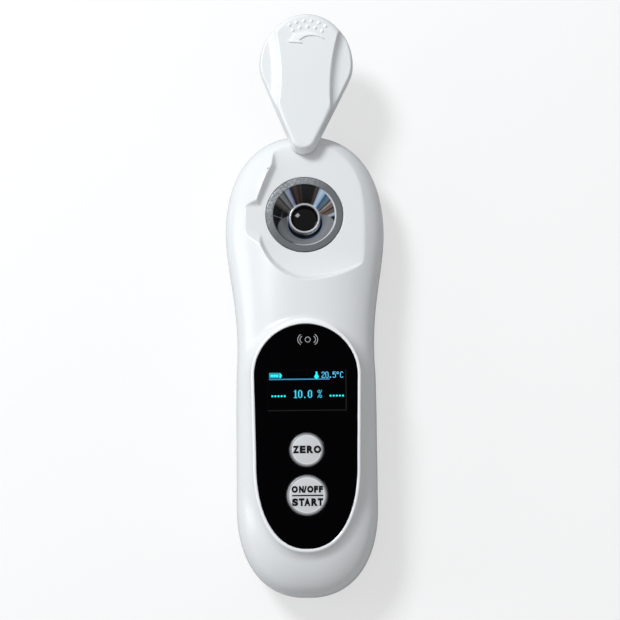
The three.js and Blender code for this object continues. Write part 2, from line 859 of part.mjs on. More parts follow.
// The front shell: a crowned skin with the raised panel surround, the lid's recess and the pivot
// column, hollow behind, with the plate that carries panel, display, keys and board.
function frontCover() {
  const surround = levelLoft([
    [lipTop - surroundDepth, panelOutline(lipWidth + surroundSpread)],
    [lipTop - lipRound, panelOutline(lipWidth)],
    [lipTop, panelOutline(lipWidth - lipRound)],
  ]);
  const knuckle = bar(pivotInset, frontFoot, floorZ, 0, pivotY, columnSteps);
  const solid = joined(frontHalf(0, frontFoot, bodyStations, frontArcSteps), surround, knuckle);
  const skin = cut(solid, recessTool());

  const bowlSouth = pivotY - bulbFromPivot - bulbOuterLength - bowlEndClearance;
  const ceilingFrom = bowlSouth - floorDepth * Math.tan(radians(bowlDraft)) - wall;
  const ceiling = floorZ - wall;
  const headSlab = block(-cutterReach, cutterReach, ceilingFrom, northEnd, ceiling, crest + overrun);
  const cavity = cut(frontHalf(wall, partingHeight, innerStations, innerArcSteps), headSlab);
  const post = (radius, foot) => ([x, y]) => bar(radius, foot, crest, x, y);
  const inner = joined(
    slab(panelOutline(0), ledgeFoot, ledgeTop),
    knuckle,
    ...boardScrewPlaces.map(post(boardPostRadius, boardTop)),
    ...opticsScrewPlaces.map(post(opticsPostRadius, blockTop)),
    ...caseScrewPlaces.map(post(columnRadius, frontFoot)),
  );
  const shell = joined(cut(skin, cavity), inner.intersect(skin));

  const windowHalf = [displayWindowWidth / 2, displayWindowLength / 2];
  const aroundGlass = displaySlack + frameWall + seatGap;
  const frameHalf = [displayGlassWidth / 2 + aroundGlass, displayGlassLength / 2 + aroundGlass];
  const coneRadius = coneUnderside().radiusAt(dishSeat) + dishFit;
  const bore = (radius, top) => ([x, y]) => bar(radius + screwSlack, partingHeight, top, x, y);
  return cut(
    shell,
    slab(panelOutline(panelSlack), ledgeTop, lipTop + overrun),
    centredBlock(...windowHalf, ledgeFoot - overrun, crest, 0, displayY),
    centredBlock(...frameHalf, partingHeight, ledgeFoot, 0, displayY),
    ...[zeroKey, startKey].map((key) => keyHole(key, ledgeFoot - overrun, crest)),
    bar(dishRadius + dishFit, dishSeat, crest, 0, wellY, roundSteps),
    bar(coneRadius, partingHeight, crest, 0, wellY, roundSteps),
    bar(bushRadius + seatGap, partingHeight, crest, 0, pivotY, columnSteps),
    bar(pocketRadius, partingHeight, bushFoot, 0, pivotY, columnSteps),
    ...boardScrewPlaces.map(bore(smallScrewRadius, boardFoot + smallScrewLength + screwSlack)),
    ...opticsScrewPlaces.map(bore(smallScrewRadius, earFoot + smallScrewLength + screwSlack)),
    ...caseScrewPlaces.map(bore(caseScrewRadius, caseScrewLevel + caseScrewLength + screwSlack)),
    sealGroove(),
  );
}

function keyHole(key, z0, z1) {
  return bar(key.radius + keySlack, z0, z1, 0, key.y, keySteps);
}

// The rear shell: flat where it lies down, with the battery bay, the screw columns and the door's
// opening.
function rearCover() {
  const skin = backHalf(0, backRim, 0, bodyStations, backArcSteps);
  const cavity = backHalf(wall, partingHeight, wall, innerStations, innerArcSteps);
  const columns = caseScrewPlaces.map(([x, y]) => bar(columnRadius, 0, backRim, x, y).intersect(skin));
  const doorway = block(
    -doorHalfWidth - slideGap, doorHalfWidth + slideGap,
    southEnd - overrun, doorNorth + slideGap,
    -overrun, doorEndRise + slideGap,
  );
  const overDoor = doorThickness + slideGap;
  const roomInside = backHalf(overDoor, backRim, overDoor, innerStations, innerArcSteps);
  const ribRoom = cut(skin, doorway);
  const shell = joined(
    cut(skin, cavity, doorway),
    ...columns,
    batteryTrays().intersect(roomInside),
    bayRibs().intersect(ribRoom),
  );
  const bore = (radius, top) => ([x, y]) => bar(radius + screwSlack, -overrun, top, x, y);
  return cut(
    shell,
    ...caseScrewPlaces.map(bore(caseScrewRadius, partingHeight)),
    ...caseScrewPlaces.map(bore(caseScrewHeadRadius, caseScrewLevel)),
    sealGroove(),
  );
}

// Two trays side by side under one roof.
function batteryTrays() {
  const outerX = bayHalfWidth + bayWall;
  const tray = cut(
    block(-outerX, outerX, baySouth - bayWall, bayNorth + bayWall, 0, bayTop + bayWall),
    block(-bayHalfWidth, bayHalfWidth, baySouth, bayNorth, -overrun, bayTop),
  );
  const partitionSouth = baySouth + contactThickness + slideGap;
  const partition = centredBlock(
    partitionThickness / 2, (bayNorth + seatGap - partitionSouth) / 2,
    0, bayTop + bayWall / 2,
    0, (bayNorth + seatGap + partitionSouth) / 2,
  );
  return joined(tray, partition);
}

// The ribs that carry the trays in the rear shell.
function bayRibs() {
  const half = bayRibThickness / 2;
  const tongueTop = doorThickness + tongueUpstand + tongueThickness + slideGap;
  const sideRibs = bayRibsFromEnd.flatMap((fromEnd) => [-1, 1].map((side) => {
    const y = southEnd + fromEnd;
    const ends = [side * bayHalfWidth, side * (bayHalfWidth + headWidth)].sort((a, b) => a - b);
    return block(...ends, y - half, y + half, tongueTop, bayRibTop);
  }));
  const northRibs = [-1, 1].map((side) => {
    const x = side * bayRibFromAxis;
    return block(x - half, x + half, bayNorth, bayNorth + bayRibLength, 0, bayRibTop);
  });
  const tailRib = block(-half, half, southEnd, baySouth, doorEndRise + 2 * slideGap, bayRibTop);
  return joined(...sideRibs, ...northRibs, tailRib);
}

function partingSeal() {
  return rimRing(sealInset, sealInset + sealWidth, sealHeight / 2);
}

function displayPanel() {
  return cut(
    slab(panelOutline(0), panelFoot, panelTop),
    ...[zeroKey, startKey].map((key) => keyHole(key, panelFoot - overrun, panelTop + overrun)),
  );
}

// The sheet of tape that holds the panel, cut out round the display and keys.
function panelAdhesive() {
  const z0 = ledgeTop - overrun;
  return cut(
    slab(panelOutline(-tapeInset), ledgeTop, panelFoot),
    centredBlock(displayWindowWidth / 2, displayWindowLength / 2, z0, panelTop, 0, displayY),
    ...[zeroKey, startKey].map((key) => keyHole({ ...key, radius: key.radius + tapeInset }, z0, panelTop)),
  );
}

function displayModule() {
  return centredBlock(displayGlassWidth / 2, displayGlassLength / 2, displayFoot, ledgeFoot, 0, displayY);
}

// The tray between board and plate that the display glass rests in.
function displayFrame() {
  const halfX = displayGlassWidth / 2;
  const halfY = displayGlassLength / 2;
  const outside = displaySlack + frameWall;
  return cut(
    centredBlock(halfX + outside, halfY + outside, boardTop, ledgeFoot, 0, displayY),
    centredBlock(halfX + displaySlack, halfY + displaySlack, displayFoot, crest, 0, displayY),
    centredBlock(halfX - frameLip, halfY - frameLip, partingHeight, crest, 0, displayY),
  );
}

// The flat cable that folds back from under the glass to the board.
function displayRibbon() {
  const radius = (displayFoot - boardTop) / 2;
  const foldY = displayY + ribbonReach - displayGlassLength / 2 + ribbonFromGlassEnd;
  const arc = (r) => Array.from({ length: ribbonSteps + 1 }, (_, i) => {
    const angle = Math.PI / 2 - (Math.PI * i) / ribbonSteps;
    return [foldY + r * Math.cos(angle), boardTop + radius + r * Math.sin(angle)];
  });
  const tabEnd = foldY - ribbonReach;
  const outer = [[tabEnd, displayFoot], ...arc(radius), [tabEnd, boardTop]];
  const inner = [
    [tabEnd, boardTop + ribbonThickness],
    ...arc(radius - ribbonThickness).reverse(),
    [tabEnd, displayFoot - ribbonThickness],
  ];
  return sideSlab([...outer, ...inner], -ribbonWidth / 2, ribbonWidth / 2);
}

function mainBoard() {
  const halfX = boardWidth / 2 - boardCornerRadius;
  const north = boardNorth - boardCornerRadius;
  const south = boardSouth + boardCornerRadius;
  const corners = [[halfX, north], [-halfX, north], [-halfX, south], [halfX, south]];
  const outline = corners.flatMap(([x, y], quarter) => {
    return Array.from({ length: boardCornerSteps + 1 }, (_, i) => {
      const angle = (Math.PI / 2) * (quarter + i / boardCornerSteps);
      return [x + boardCornerRadius * Math.cos(angle), y + boardCornerRadius * Math.sin(angle)];
    });
  });
  const holes = boardScrewPlaces.map(([x, y]) => {
    return bar(smallScrewRadius + screwSlack, boardFoot - overrun, crest, x, y, screwSteps);
  });
  return cut(slab(outline, boardFoot, boardTop), ...holes);
}

function processor() {
  const half = processorSize / 2;
  return centredBlock(half, half, boardFoot - processorHeight, boardFoot, 0, southEnd + processorFromEnd);
}

function keySwitch(key) {
  const wellFoot = switchTop - plungerSink - keyTravel - plungerSlack;
  const well = bar(plungerRadius + plungerSlack, wellFoot, crest, 0, key.y);
  return cut(centredBlock(switchSize / 2, switchSize / 2, boardTop, switchTop, 0, key.y), well);
}

function keyPlunger(key) {
  return bar(plungerRadius, switchTop - plungerSink, plungerTop, 0, key.y);
}

// A crowned key with a retaining flange under the plate and a stem down to its switch.
function keyCap(key) {
  const top = panelTop + keyProud;
  const edge = key.radius - keyEdge;
  const edgeZ = top - keyCrown - keyEdge;
  const roundedEdge = Array.from({ length: keyEdgeSteps }, (_, i) => {
    const angle = (Math.PI / 2) * (i / keyEdgeSteps);
    return [edge + keyEdge * Math.cos(angle), edgeZ + keyEdge * Math.sin(angle)];
  });
  return turned([
    [0, plungerTop],
    [plungerRadius, plungerTop],
    [plungerRadius, keyFoot],
    [key.radius + keyFlangeWidth, keyFoot],
    [key.radius + keyFlangeWidth, ledgeFoot - seatGap],
    [key.radius, ledgeFoot - seatGap],
    ...roundedEdge,
    ...keyCrownShares.map((share) => [edge * share, top - keyCrown * share ** 2]),
  ], 0, key.y, keySteps);
}

// The steel dish: a flat flange, a polished cone, a bezel round the prism and a hub below.
function sampleDish() {
  const cone = coneUnderside();
  const grooveHalf = sealCordRadius + sealGrooveSlack;
  const grooveZ = dishTop - sealCordDepth;
  const grooveRadius = prismBore + 2 * sealCordRadius;
  return turned([
    [prismBore, hubFoot],
    [hubRadius, hubFoot],
    [hubRadius, cone.heightAt(hubRadius)],
    [cone.radiusAt(dishFlangeFoot), dishFlangeFoot],
    [dishRadius, dishFlangeFoot],
    [dishRadius, dishTop],
    [dishMouthRadius + dishMouthBevel, dishTop],
    [dishMouthRadius, dishTop - dishMouthBevel],
    [dishFootRadius, dishFloor],
    [bezelRadius, dishFloor],
    [bezelRadius, bezelTop - bezelRound],
    [bezelRadius - bezelRound, bezelTop],
    [prismBore, bezelTop],
    [prismBore, grooveZ + grooveHalf],
    [grooveRadius, grooveZ + grooveHalf],
    [grooveRadius, grooveZ - grooveHalf],
    [prismBore, grooveZ - grooveHalf],
    [prismBore, hubFoot],
  ], 0, wellY);
}

function dishGasket() {
  const inner = coneUnderside().radiusAt(dishFlangeFoot) + dishFit;
  return washer(inner, dishRadius, dishSeat, dishFlangeFoot, 0, wellY, roundSteps);
}

function prismSeal() {
  const centre = prismBore + sealCordRadius;
  const level = dishTop - sealCordDepth;
  const profile = Array.from({ length: sealCordSides + 1 }, (_, i) => {
    const angle = (2 * Math.PI * i) / sealCordSides;
    return [centre + sealCordRadius * Math.cos(angle), level + sealCordRadius * Math.sin(angle)];
  });
  return turned(profile, 0, wellY, columnSteps);
}

// The prism: a round measuring face over a wedge with two slanted faces.
function prism() {
  const wedgeFoot = prismDiscFoot - prismWedgeDepth;
  const profile = [
    [wellY - prismWedgeTop / 2, prismDiscFoot + prismSink],
    [wellY - prismWedgeTop / 2, prismDiscFoot],
    [wellY - prismWedgeFoot / 2, wedgeFoot],
    [wellY + prismWedgeFoot / 2, wedgeFoot],
    [wellY + prismWedgeTop / 2, prismDiscFoot],
    [wellY + prismWedgeTop / 2, prismDiscFoot + prismSink],
  ];
  return joined(
    bar(prismRadius, prismDiscFoot, prismTop, 0, wellY, roundSteps),
    sideSlab(profile, -prismWedgeWidth / 2, prismWedgeWidth / 2),
  );
}

// The frame of one slanted end of the optics block: its origin lies on the end face, where the
// line to the prism's face crosses it, and its Z runs up that line.
function endFrame(side) {
  const lean = Math.atan2((blockTopLength - blockFootLength) / 2, blockHeight);
  const atPrismTop = blockTopLength / 2 + (prismTop - blockTop) * Math.tan(lean);
  const along = atPrismTop * Math.cos(lean);
  const frame = new THREE.Object3D();
  frame.position.set(0, wellY + side * along * Math.cos(lean), prismTop - along * Math.sin(lean));
  frame.rotation.x = side * (Math.PI / 2 - lean);
  frame.updateMatrix();
  return frame;
}

// The black carrier under the dish: a hub pocket, the prism's well, a round bore for the lamp and
// a slot for the line sensor, on the two slanted ends.
function opticsBlock() {
  const outline = [
    [wellY - blockTopLength / 2, blockTop],
    [wellY - blockFootLength / 2, blockFoot],
    [wellY + blockFootLength / 2, blockFoot],
    [wellY + blockTopLength / 2, blockTop],
  ];
  const earHalf = opticsScrewOffset + opticsEarReach;
  const ears = centredBlock(earHalf, opticsEarWidth / 2, earFoot, blockTop, 0, wellY);
  const boreLength = blockTopLength / 2;
  const slotHalfX = sensorWidth / 2 + sensorSlack;
  const slotHalfY = sensorLength / 2 + sensorSlack;
  const wellHalf = lightWellWidth / 2;
  const well = centredBlock(wellHalf, wellHalf, blockTop - lightWellDepth, crest, 0, wellY);
  const lampBore = placed(bar(lightBoreRadius, -overrun, boreLength), endFrame(1).matrix);
  const sensorWell = centredBlock(slotHalfX, slotHalfY, -overrun, boreLength);
  const sensorSlot = placed(sensorWell, endFrame(-1).matrix);
  const screwHole = ([x, y]) => bar(smallScrewRadius + screwSlack, blockFoot, crest, x, y, screwSteps);
  const probeX = (prismBore + hubRadius) / 2;
  return cut(
    joined(sideSlab(outline, -blockWidth / 2, blockWidth / 2), ears),
    bar(hubRadius + dishFit, hubFoot - blockGapToHub, crest, 0, wellY, roundSteps),
    well,
    lampBore,
    sensorSlot,
    bar(probeRadius + screwSlack, hubFoot - probeLength - seatGap, crest, probeX, wellY),
    ...opticsScrewPlaces.map(screwHole),
  );
}

function sideBoard() {
  return centredBlock(sideBoardWidth / 2, sideBoardLength / 2, -seatGap - sideBoardThickness, -seatGap);
}

function lightSource() {
  const dome = domeProfile(lampRadius, lampLength - lampRadius, lampRadius);
  return joined(
    bar(lampFlangeRadius, 0, lampFlangeThickness),
    turned([[0, 0], [lampRadius, 0], ...dome], 0, 0, smallRoundSteps),
  );
}

// A dome's profile from its rim to its top.
function domeProfile(radius, rimZ, rise) {
  return Array.from({ length: lensCrownSteps + 1 }, (_, i) => {
    const angle = (Math.PI / 2) * (i / lensCrownSteps);
    return [radius * Math.cos(angle), rimZ + rise * Math.sin(angle)];
  });
}

function collimatorLens() {
  const foot = lampLength + lensFromLamp;
  const dome = domeProfile(lensRadius, foot + lensEdge, lensCrown);
  return turned([[0, foot], [lensRadius, foot], ...dome], 0, 0, smallRoundSteps);
}

function lineSensor() {
  return centredBlock(sensorWidth / 2, sensorLength / 2, 0, sensorThickness);
}

function temperatureProbe() {
  return bar(probeRadius, hubFoot - probeLength, hubFoot, (prismBore + hubRadius) / 2, wellY);
}

// The lid in its own frame, with its pivot at the origin and its length along +Y: a drafted
// teardrop with a raised plateau between two finger scoops, grip dots at its tip and the pivot
// post below its neck.
function lidCover() {
  const teardrop = levelLoft([
    [lidFoot, lidOutline(0)],
    [lidTop - lidShoulderDrop, lidOutline(-lidDraft)],
    [lidTop - lidEdgeDrop, lidOutline(-lidShoulderInset)],
    [lidTop, lidOutline(-lidTopInset)],
  ]);
  const pocket = slab(lidOutline(-lidSkirtWidth), lidFoot - overrun, linerTop);
  const bulbSide = block(-cutterReach, cutterReach, lidPocketFrom, cutterReach, 0, crest + overrun);
  const coreTop = lidTop - lidTopWall;
  const core = block(-lidCoreHalfWidth, lidCoreHalfWidth, lidCoreFrom, lidCoreTo, lidFoot, coreTop);
  const hollow = cut(
    teardrop,
    scoopTool(1),
    scoopTool(-1),
    pocket.intersect(bulbSide),
    core,
    rampWedge(pivotY - rampFoldY, 1, lidFoot),
  );
  const post = bar(postRadius, postFoot, linerTop, 0, 0, columnSteps);
  const postBore = bar(postBoreRadius, postFoot - overrun, postFoot + postBoreDepth, 0, 0, screwSteps);
  return cut(joined(hollow, post, ...gripDots()), postBore);
}

// One finger scoop: cuts beside the plateau with a rounded foot, along a wide arc.
function scoopTool(side) {
  const floor = lidTop - scoopDepth;
  const far = headWidth;
  const rings = Array.from({ length: scoopSteps + 1 }, (_, i) => {
    const t = mix(-neckRadius, bulbFromPivot + bulbOuterLength + overrun, i / scoopSteps);
    const edge = scoopFromAxis + (t - scoopCentre) ** 2 / (2 * scoopRadius);
    const fillet = Array.from({ length: scoopFilletSteps + 1 }, (__, k) => {
      const angle = (Math.PI / 2) * (k / scoopFilletSteps);
      const u = edge + scoopFillet * (1 - Math.cos(angle));
      return new THREE.Vector3(side * u, t, floor + scoopFillet * (1 - Math.sin(angle)));
    });
    return [
      new THREE.Vector3(side * edge, t, lidTop + overrun),
      ...fillet,
      new THREE.Vector3(side * far, t, floor),
      new THREE.Vector3(side * far, t, lidTop + overrun),
    ];
  });
  return loft(rings);
}

function gripDots() {
  const lidTip = bulbFromPivot + bulbOuterLength;
  return gripRowCounts.flatMap((count, row) => Array.from({ length: count }, (_, i) => {
    const centreT = lidTip - gripFirstRowFromTip - row * gripRowSpacing - gripRowRadius;
    const angle = ((i - (count - 1) / 2) * gripDotSpacing) / gripRowRadius;
    const u = gripRowRadius * Math.sin(angle);
    const t = centreT + gripRowRadius * Math.cos(angle);
    const dome = new THREE.SphereGeometry(gripDotRadius, gripDotSteps, gripDotRings);
    dome.rotateX(Math.PI / 2);
    dome.translate(u, t, lidTop - gripDotSink);
    return solidOf(dome);
  }));
}

function lidLiner() {
  const from = lidPocketFrom + linerSlack;
  const sheet = slab(lidOutline(-lidSkirtWidth - linerSlack), linerFoot, linerTop);
  return sheet.intersect(block(-cutterReach, cutterReach, from, cutterReach, 0, crest + overrun));
}

// The soft ring under the liner, which lies over the dish's flange when the lid is closed.
function lidLightSeal() {
  const short = radians(lidClosedShort);
  const u = wellFromPivot * Math.sin(short);
  const t = wellFromPivot * Math.cos(short);
  const foot = linerFoot - sealRingThickness;
  return washer(sealRingInner, sealRingOuter, foot, linerFoot, u, t, roundSteps);
}

function pivotBush() {
  return washer(postRadius + postFit, bushRadius, bushFoot, floorZ, 0, pivotY);
}

// The wave washer between head and lid that gives the lid its friction.
function waveWasher() {
  const middle = (floorZ + lidFoot) / 2;
  return loft(Array.from({ length: waveSteps }, (_, i) => {
    const angle = (2 * Math.PI * i) / waveSteps;
    const z = middle + waveHeight * Math.sin(waveCount * angle);
    const half = waveRingThickness / 2;
    const foot = [[waveRingInner, -half], [waveRingOuter, -half]];
    const top = [[waveRingOuter, half], [waveRingInner, half]];
    return [...foot, ...top].map(([r, dz]) => {
      return new THREE.Vector3(r * Math.cos(angle), pivotY + r * Math.sin(angle), z + dz);
    });
  }), true);
}

function pivotWasher() {
  return washer(pivotScrewRadius + screwSlack, washerRadius, washerFoot, postFoot);
}

function pivotScrew() {
  const solid = screw(pivotScrewHeadRadius, pivotScrewHeadHeight, pivotScrewRadius, pivotScrewLength);
  return moved(solid, 0, 0, washerFoot);
}

// A cell standing on its flat end.
function cell() {
  return joined(
    bar(cellRadius, 0, cellLength, 0, 0, cellSteps),
    bar(cellNubRadius, cellLength / 2, cellLength + cellNubHeight, 0, 0, screwSteps),
  );
}

// A conical contact spring standing on its wide end.
function contactSpring() {
  class Coil extends THREE.Curve {
    getPoint(share) {
      const angle = 2 * Math.PI * springTurns * share;
      const radius = mix(springBaseRadius, springTipRadius, share);
      const z = mix(springWireRadius, springLength - springWireRadius, share);
      return new THREE.Vector3(radius * Math.cos(angle), radius * Math.sin(angle), z);
    }
  }
  const section = new THREE.Shape(Array.from({ length: springSides }, (_, i) => {
    const angle = (2 * Math.PI * i) / springSides;
    return new THREE.Vector2(springWireRadius * Math.cos(angle), springWireRadius * Math.sin(angle));
  }));
  const steps = springTurns * springStepsPerTurn;
  const settings = { steps, extrudePath: new Coil(), bevelEnabled: false };
  return solidOf(new THREE.ExtrudeGeometry(section, settings));
}

function contactPlate(halfWidth) {
  return centredBlock(halfWidth, contactHeight / 2, 0, contactThickness);
}

// The door: the part of the back over the bay that slides off past the handle's end, with tongues
// that hook under the case's edges and a latch under its north edge.
function batteryDoor() {
  const shell = cut(
    backHalf(0, backRim, 0, bodyStations, backArcSteps),
    backHalf(doorThickness, partingHeight, doorThickness, innerStations, innerArcSteps),
  );
  const doorSouth = southEnd - overrun;
  const region = block(-doorHalfWidth, doorHalfWidth, doorSouth, doorNorth, -overrun, doorEndRise);
  const tongueFoot = doorThickness + tongueUpstand;
  const tongueTop = tongueFoot + tongueThickness;
  const tongues = tonguesFromEnd.flatMap((fromEnd) => [-1, 1].flatMap((side) => {
    const y0 = southEnd + fromEnd;
    const y1 = y0 + tongueLength;
    const outward = (near, far) => [side * near, side * far].sort((a, b) => a - b);
    const inner = doorHalfWidth - tongueRoot;
    return [
      block(...outward(inner, doorHalfWidth), y0, y1, doorThickness / 2, tongueTop),
      block(...outward(inner, doorHalfWidth + tongueReach), y0, y1, tongueFoot, tongueTop),
    ];
  }));
  const latchFoot = wall + slideGap;
  const latchBlock = (north, foot) => {
    const south = doorNorth - latchRoot;
    return block(-latchHalfWidth, latchHalfWidth, south, north, foot, latchFoot + latchThickness);
  };
  const latch = joined(
    latchBlock(doorNorth, doorThickness / 2),
    latchBlock(doorNorth + latchReach, latchFoot),
  );
  const grooves = Array.from({ length: gripGrooves }, (_, i) => {
    const y = doorNorth - gripGroovesFromDoorEdge - i * gripGroovePitch;
    return centredBlock(gripGrooveHalfLength, gripGrooveWidth / 2, -overrun, gripGrooveDepth, 0, y);
  });
  return cut(joined(shell.intersect(region), ...tongues, latch), ...grooves);
}

function piece(name, solid, finish) {
  const mesh = new THREE.Mesh(geometryOf(solid), finish);
  mesh.geometry.computeVertexNormals();
  mesh.name = name;
  return mesh;
}

// A piece that stands at a place, turned so that its own Z points along +Y or -Y.
function lyingPiece(name, solid, finish, x, y, z, towards) {
  const mesh = piece(name, solid, finish);
  mesh.position.set(x, y, z);
  mesh.rotation.x = (-towards * Math.PI) / 2;
  return mesh;
}

function caseAssembly() {
  const group = new THREE.Group();
  group.add(
    piece('front_cover', frontCover(), whitePlastic),
    piece('rear_cover', rearCover(), whitePlastic),
    piece('parting_seal', partingSeal(), sealRubber),
  );
  caseScrewPlaces.forEach(([x, y], i) => {
    const solid = crossScrew(caseScrewHeadRadius, caseScrewHeadHeight, caseScrewRadius, caseScrewLength);
    group.add(piece(`case_screw_${i + 1}`, moved(solid, x, y, caseScrewLevel), screwSteel));
  });
  return group;
}

function smallScrews(name, places, z) {
  const group = new THREE.Group();
  places.forEach(([x, y], i) => {
    const solid = screw(smallScrewHeadRadius, smallScrewHeadHeight, smallScrewRadius, smallScrewLength);
    group.add(piece(`${name}_${i + 1}`, moved(solid, x, y, z), screwSteel));
  });
  return group;
}

function displayAssembly() {
  const group = new THREE.Group();
  group.add(
    piece('display_panel', displayPanel(), blackAcrylic),
    piece('panel_adhesive', panelAdhesive(), darkPlastic),
    piece('display_module', displayModule(), displayGlass),
    piece('display_frame', displayFrame(), darkPlastic),
    piece('display_ribbon', displayRibbon(), ribbonFilm),
  );
  return group;
}

function boardAssembly() {
  const group = new THREE.Group();
  group.add(
    piece('main_board', mainBoard(), boardGreen),
    piece('processor', processor(), darkPlastic),
    piece('zero_switch', keySwitch(zeroKey), darkPlastic),
    piece('start_switch', keySwitch(startKey), darkPlastic),
    smallScrews('board_screw', boardScrewPlaces, boardFoot),
  );
  return group;
}

function keyAssembly() {
  const group = new THREE.Group();
  group.add(
    piece('zero_key', keyCap(zeroKey), keyPlastic),
    piece('zero_plunger', keyPlunger(zeroKey), darkPlastic),
    piece('start_key', keyCap(startKey), keyPlastic),
    piece('start_plunger', keyPlunger(startKey), darkPlastic),
  );
  return group;
}

function opticsAssembly() {
  const group = new THREE.Group();
  const lampEnd = endFrame(1);
  const sensorEnd = endFrame(-1);
  lampEnd.add(
    piece('lamp_board', sideBoard(), boardGreen),
    piece('light_source', lightSource(), lensGlass),
    piece('collimator_lens', collimatorLens(), lensGlass),
  );
  sensorEnd.add(
    piece('sensor_board', sideBoard(), boardGreen),
    piece('line_sensor', lineSensor(), darkPlastic),
  );
  group.add(
    piece('sample_dish', sampleDish(), polishedSteel),
    piece('dish_gasket', dishGasket(), sealRubber),
    piece('prism', prism(), prismGlass),
    piece('prism_seal', prismSeal(), sealRubber),
    piece('optics_block', opticsBlock(), darkPlastic),
    piece('temperature_probe', temperatureProbe(), nickelPlate),
    smallScrews('optics_screw', opticsScrewPlaces, earFoot),
    lampEnd,
    sensorEnd,
  );
  return group;
}

function lidAssembly() {
  const lid = new THREE.Group();
  lid.position.y = pivotY;
  lid.rotation.z = -radians(lidOpenLean);
  lid.add(
    piece('lid_cover', lidCover(), lidPlastic),
    piece('lid_liner', lidLiner(), whitePlastic),
    piece('lid_light_seal', lidLightSeal(), sealRubber),
    piece('pivot_washer', pivotWasher(), screwSteel),
    piece('pivot_screw', pivotScrew(), screwSteel),
  );
  const group = new THREE.Group();
  group.add(
    lid,
    piece('pivot_bush', pivotBush(), darkPlastic),
    piece('wave_washer', waveWasher(), screwSteel),
  );
  return group;
}

// Two cells side by side, head to tail, joined at the handle's end by one plate.
function batteryAssembly() {
  const group = new THREE.Group();
  const southPlate = baySouth + contactThickness;
  const northPlate = bayNorth - contactThickness;
  const halfWidth = contactWidth / 2;
  group.add(
    lyingPiece('battery_1', cell(), cellJacket, -cellX, southPlate + springLength, cellZ, 1),
    lyingPiece('battery_2', cell(), cellJacket, cellX, northPlate - springLength, cellZ, -1),
    lyingPiece('battery_spring_1', contactSpring(), nickelPlate, -cellX, southPlate, cellZ, 1),
    lyingPiece('battery_spring_2', contactSpring(), nickelPlate, cellX, northPlate, cellZ, -1),
    lyingPiece('link_contact', contactPlate(cellX + halfWidth), nickelPlate, 0, baySouth, cellZ, 1),
    lyingPiece('positive_contact', contactPlate(halfWidth), nickelPlate, -cellX, bayNorth, cellZ, -1),
    lyingPiece('negative_contact', contactPlate(halfWidth), nickelPlate, cellX, bayNorth, cellZ, -1),
    piece('battery_door', batteryDoor(), whitePlastic),
  );
  return group;
}

const refractometer = new THREE.Group();
refractometer.add(
  caseAssembly(),
  displayAssembly(),
  boardAssembly(),
  keyAssembly(),
  opticsAssembly(),
  lidAssembly(),
  batteryAssembly(),
);

export default refractometer;
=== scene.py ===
"""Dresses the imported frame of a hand-held digital refractometer: fine moulded shells, lid, steel
dish, glossy panel with a lit display, lettered keys, and the stage. Shapes are worked out in
millimetres and become meshes in metres, in the frame's own place."""

import math

import bmesh
import bpy
import numpy as np
from bpy.props import FloatProperty, FloatVectorProperty, IntProperty, PointerProperty
from mathutils import Matrix, Vector


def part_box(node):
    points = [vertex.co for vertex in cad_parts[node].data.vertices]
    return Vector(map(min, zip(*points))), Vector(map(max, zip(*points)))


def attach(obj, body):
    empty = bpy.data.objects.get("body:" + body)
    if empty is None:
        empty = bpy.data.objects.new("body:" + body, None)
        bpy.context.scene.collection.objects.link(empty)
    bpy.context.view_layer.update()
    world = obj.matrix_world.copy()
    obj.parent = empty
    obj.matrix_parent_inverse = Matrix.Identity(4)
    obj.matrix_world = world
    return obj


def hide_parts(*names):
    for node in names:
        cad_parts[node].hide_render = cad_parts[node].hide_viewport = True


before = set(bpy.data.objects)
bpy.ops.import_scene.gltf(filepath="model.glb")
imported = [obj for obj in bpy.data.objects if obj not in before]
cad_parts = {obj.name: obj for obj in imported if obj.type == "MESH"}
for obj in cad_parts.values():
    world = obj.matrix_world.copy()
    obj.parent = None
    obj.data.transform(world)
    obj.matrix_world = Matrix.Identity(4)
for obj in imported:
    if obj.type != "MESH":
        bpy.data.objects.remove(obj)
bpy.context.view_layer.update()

bl_info = {
    "name": "Digital Refractometer",
    "version": (1, 0, 0),
    "blender": (4, 5, 0),
    "location": "View3D > Sidebar > Refractometer",
    "description": "Fine shells, dish, display and keys for a hand-held digital refractometer",
    "category": "Object",
}

MM = 0.001


def corners(node):
    """A CAD node's lowest and highest corners in millimetres."""
    low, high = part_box(node)
    return np.array(low) / MM, np.array(high) / MM


# Places read from the frame
COVER_LOW, COVER_HIGH = corners("front_cover")
DISH_LOW, DISH_HIGH = corners("sample_dish")
PRISM_LOW, PRISM_HIGH = corners("prism")
PANEL_LOW, PANEL_HIGH = corners("display_panel")
ZERO_LOW, ZERO_HIGH = corners("zero_key")
START_LOW, START_HIGH = corners("start_key")
GLASS_LOW, GLASS_HIGH = corners("display_module")
DOOR_LOW, DOOR_HIGH = corners("battery_door")
BUSH_LOW, BUSH_HIGH = corners("pivot_bush")
LINER_TOP = corners("lid_liner")[1][2]

# Body outline and sections
NORTH = COVER_HIGH[1]
HEAD_HALF = COVER_HIGH[0]
WAIST_HALF = 26.4
HANDLE_HALF = 26.75
HEAD_END = 40
HANDLE_END = 35
HEAD_Y = NORTH - HEAD_END
HANDLE_Y = HANDLE_END - NORTH
WAIST_Y = NORTH - 85
HANDLE_WIDE_Y = NORTH - 112
WAIST_SKEW = 0.85
OUTLINE_POWER = 2.3
FALL_LIMIT = 0.9995
END_POWER = 2.2
HEAD_POWER = 2.1
HANDLE_POWER = 2.6
BACK_POWER = 3
BACK_ROUND = 0.7
PARTING = 15
FRONT_FOOT = COVER_LOW[2]
BACK_RIM = 2 * PARTING - FRONT_FOOT
FRONT_HEIGHT = 16
BACK_DEPTH = 15.8
FRONT_EASES = (26, 30)
BACK_EASES = (30, 24)
CREST = PARTING + FRONT_HEIGHT
WALL = 2.2
SEAM_ROUND = 0.4
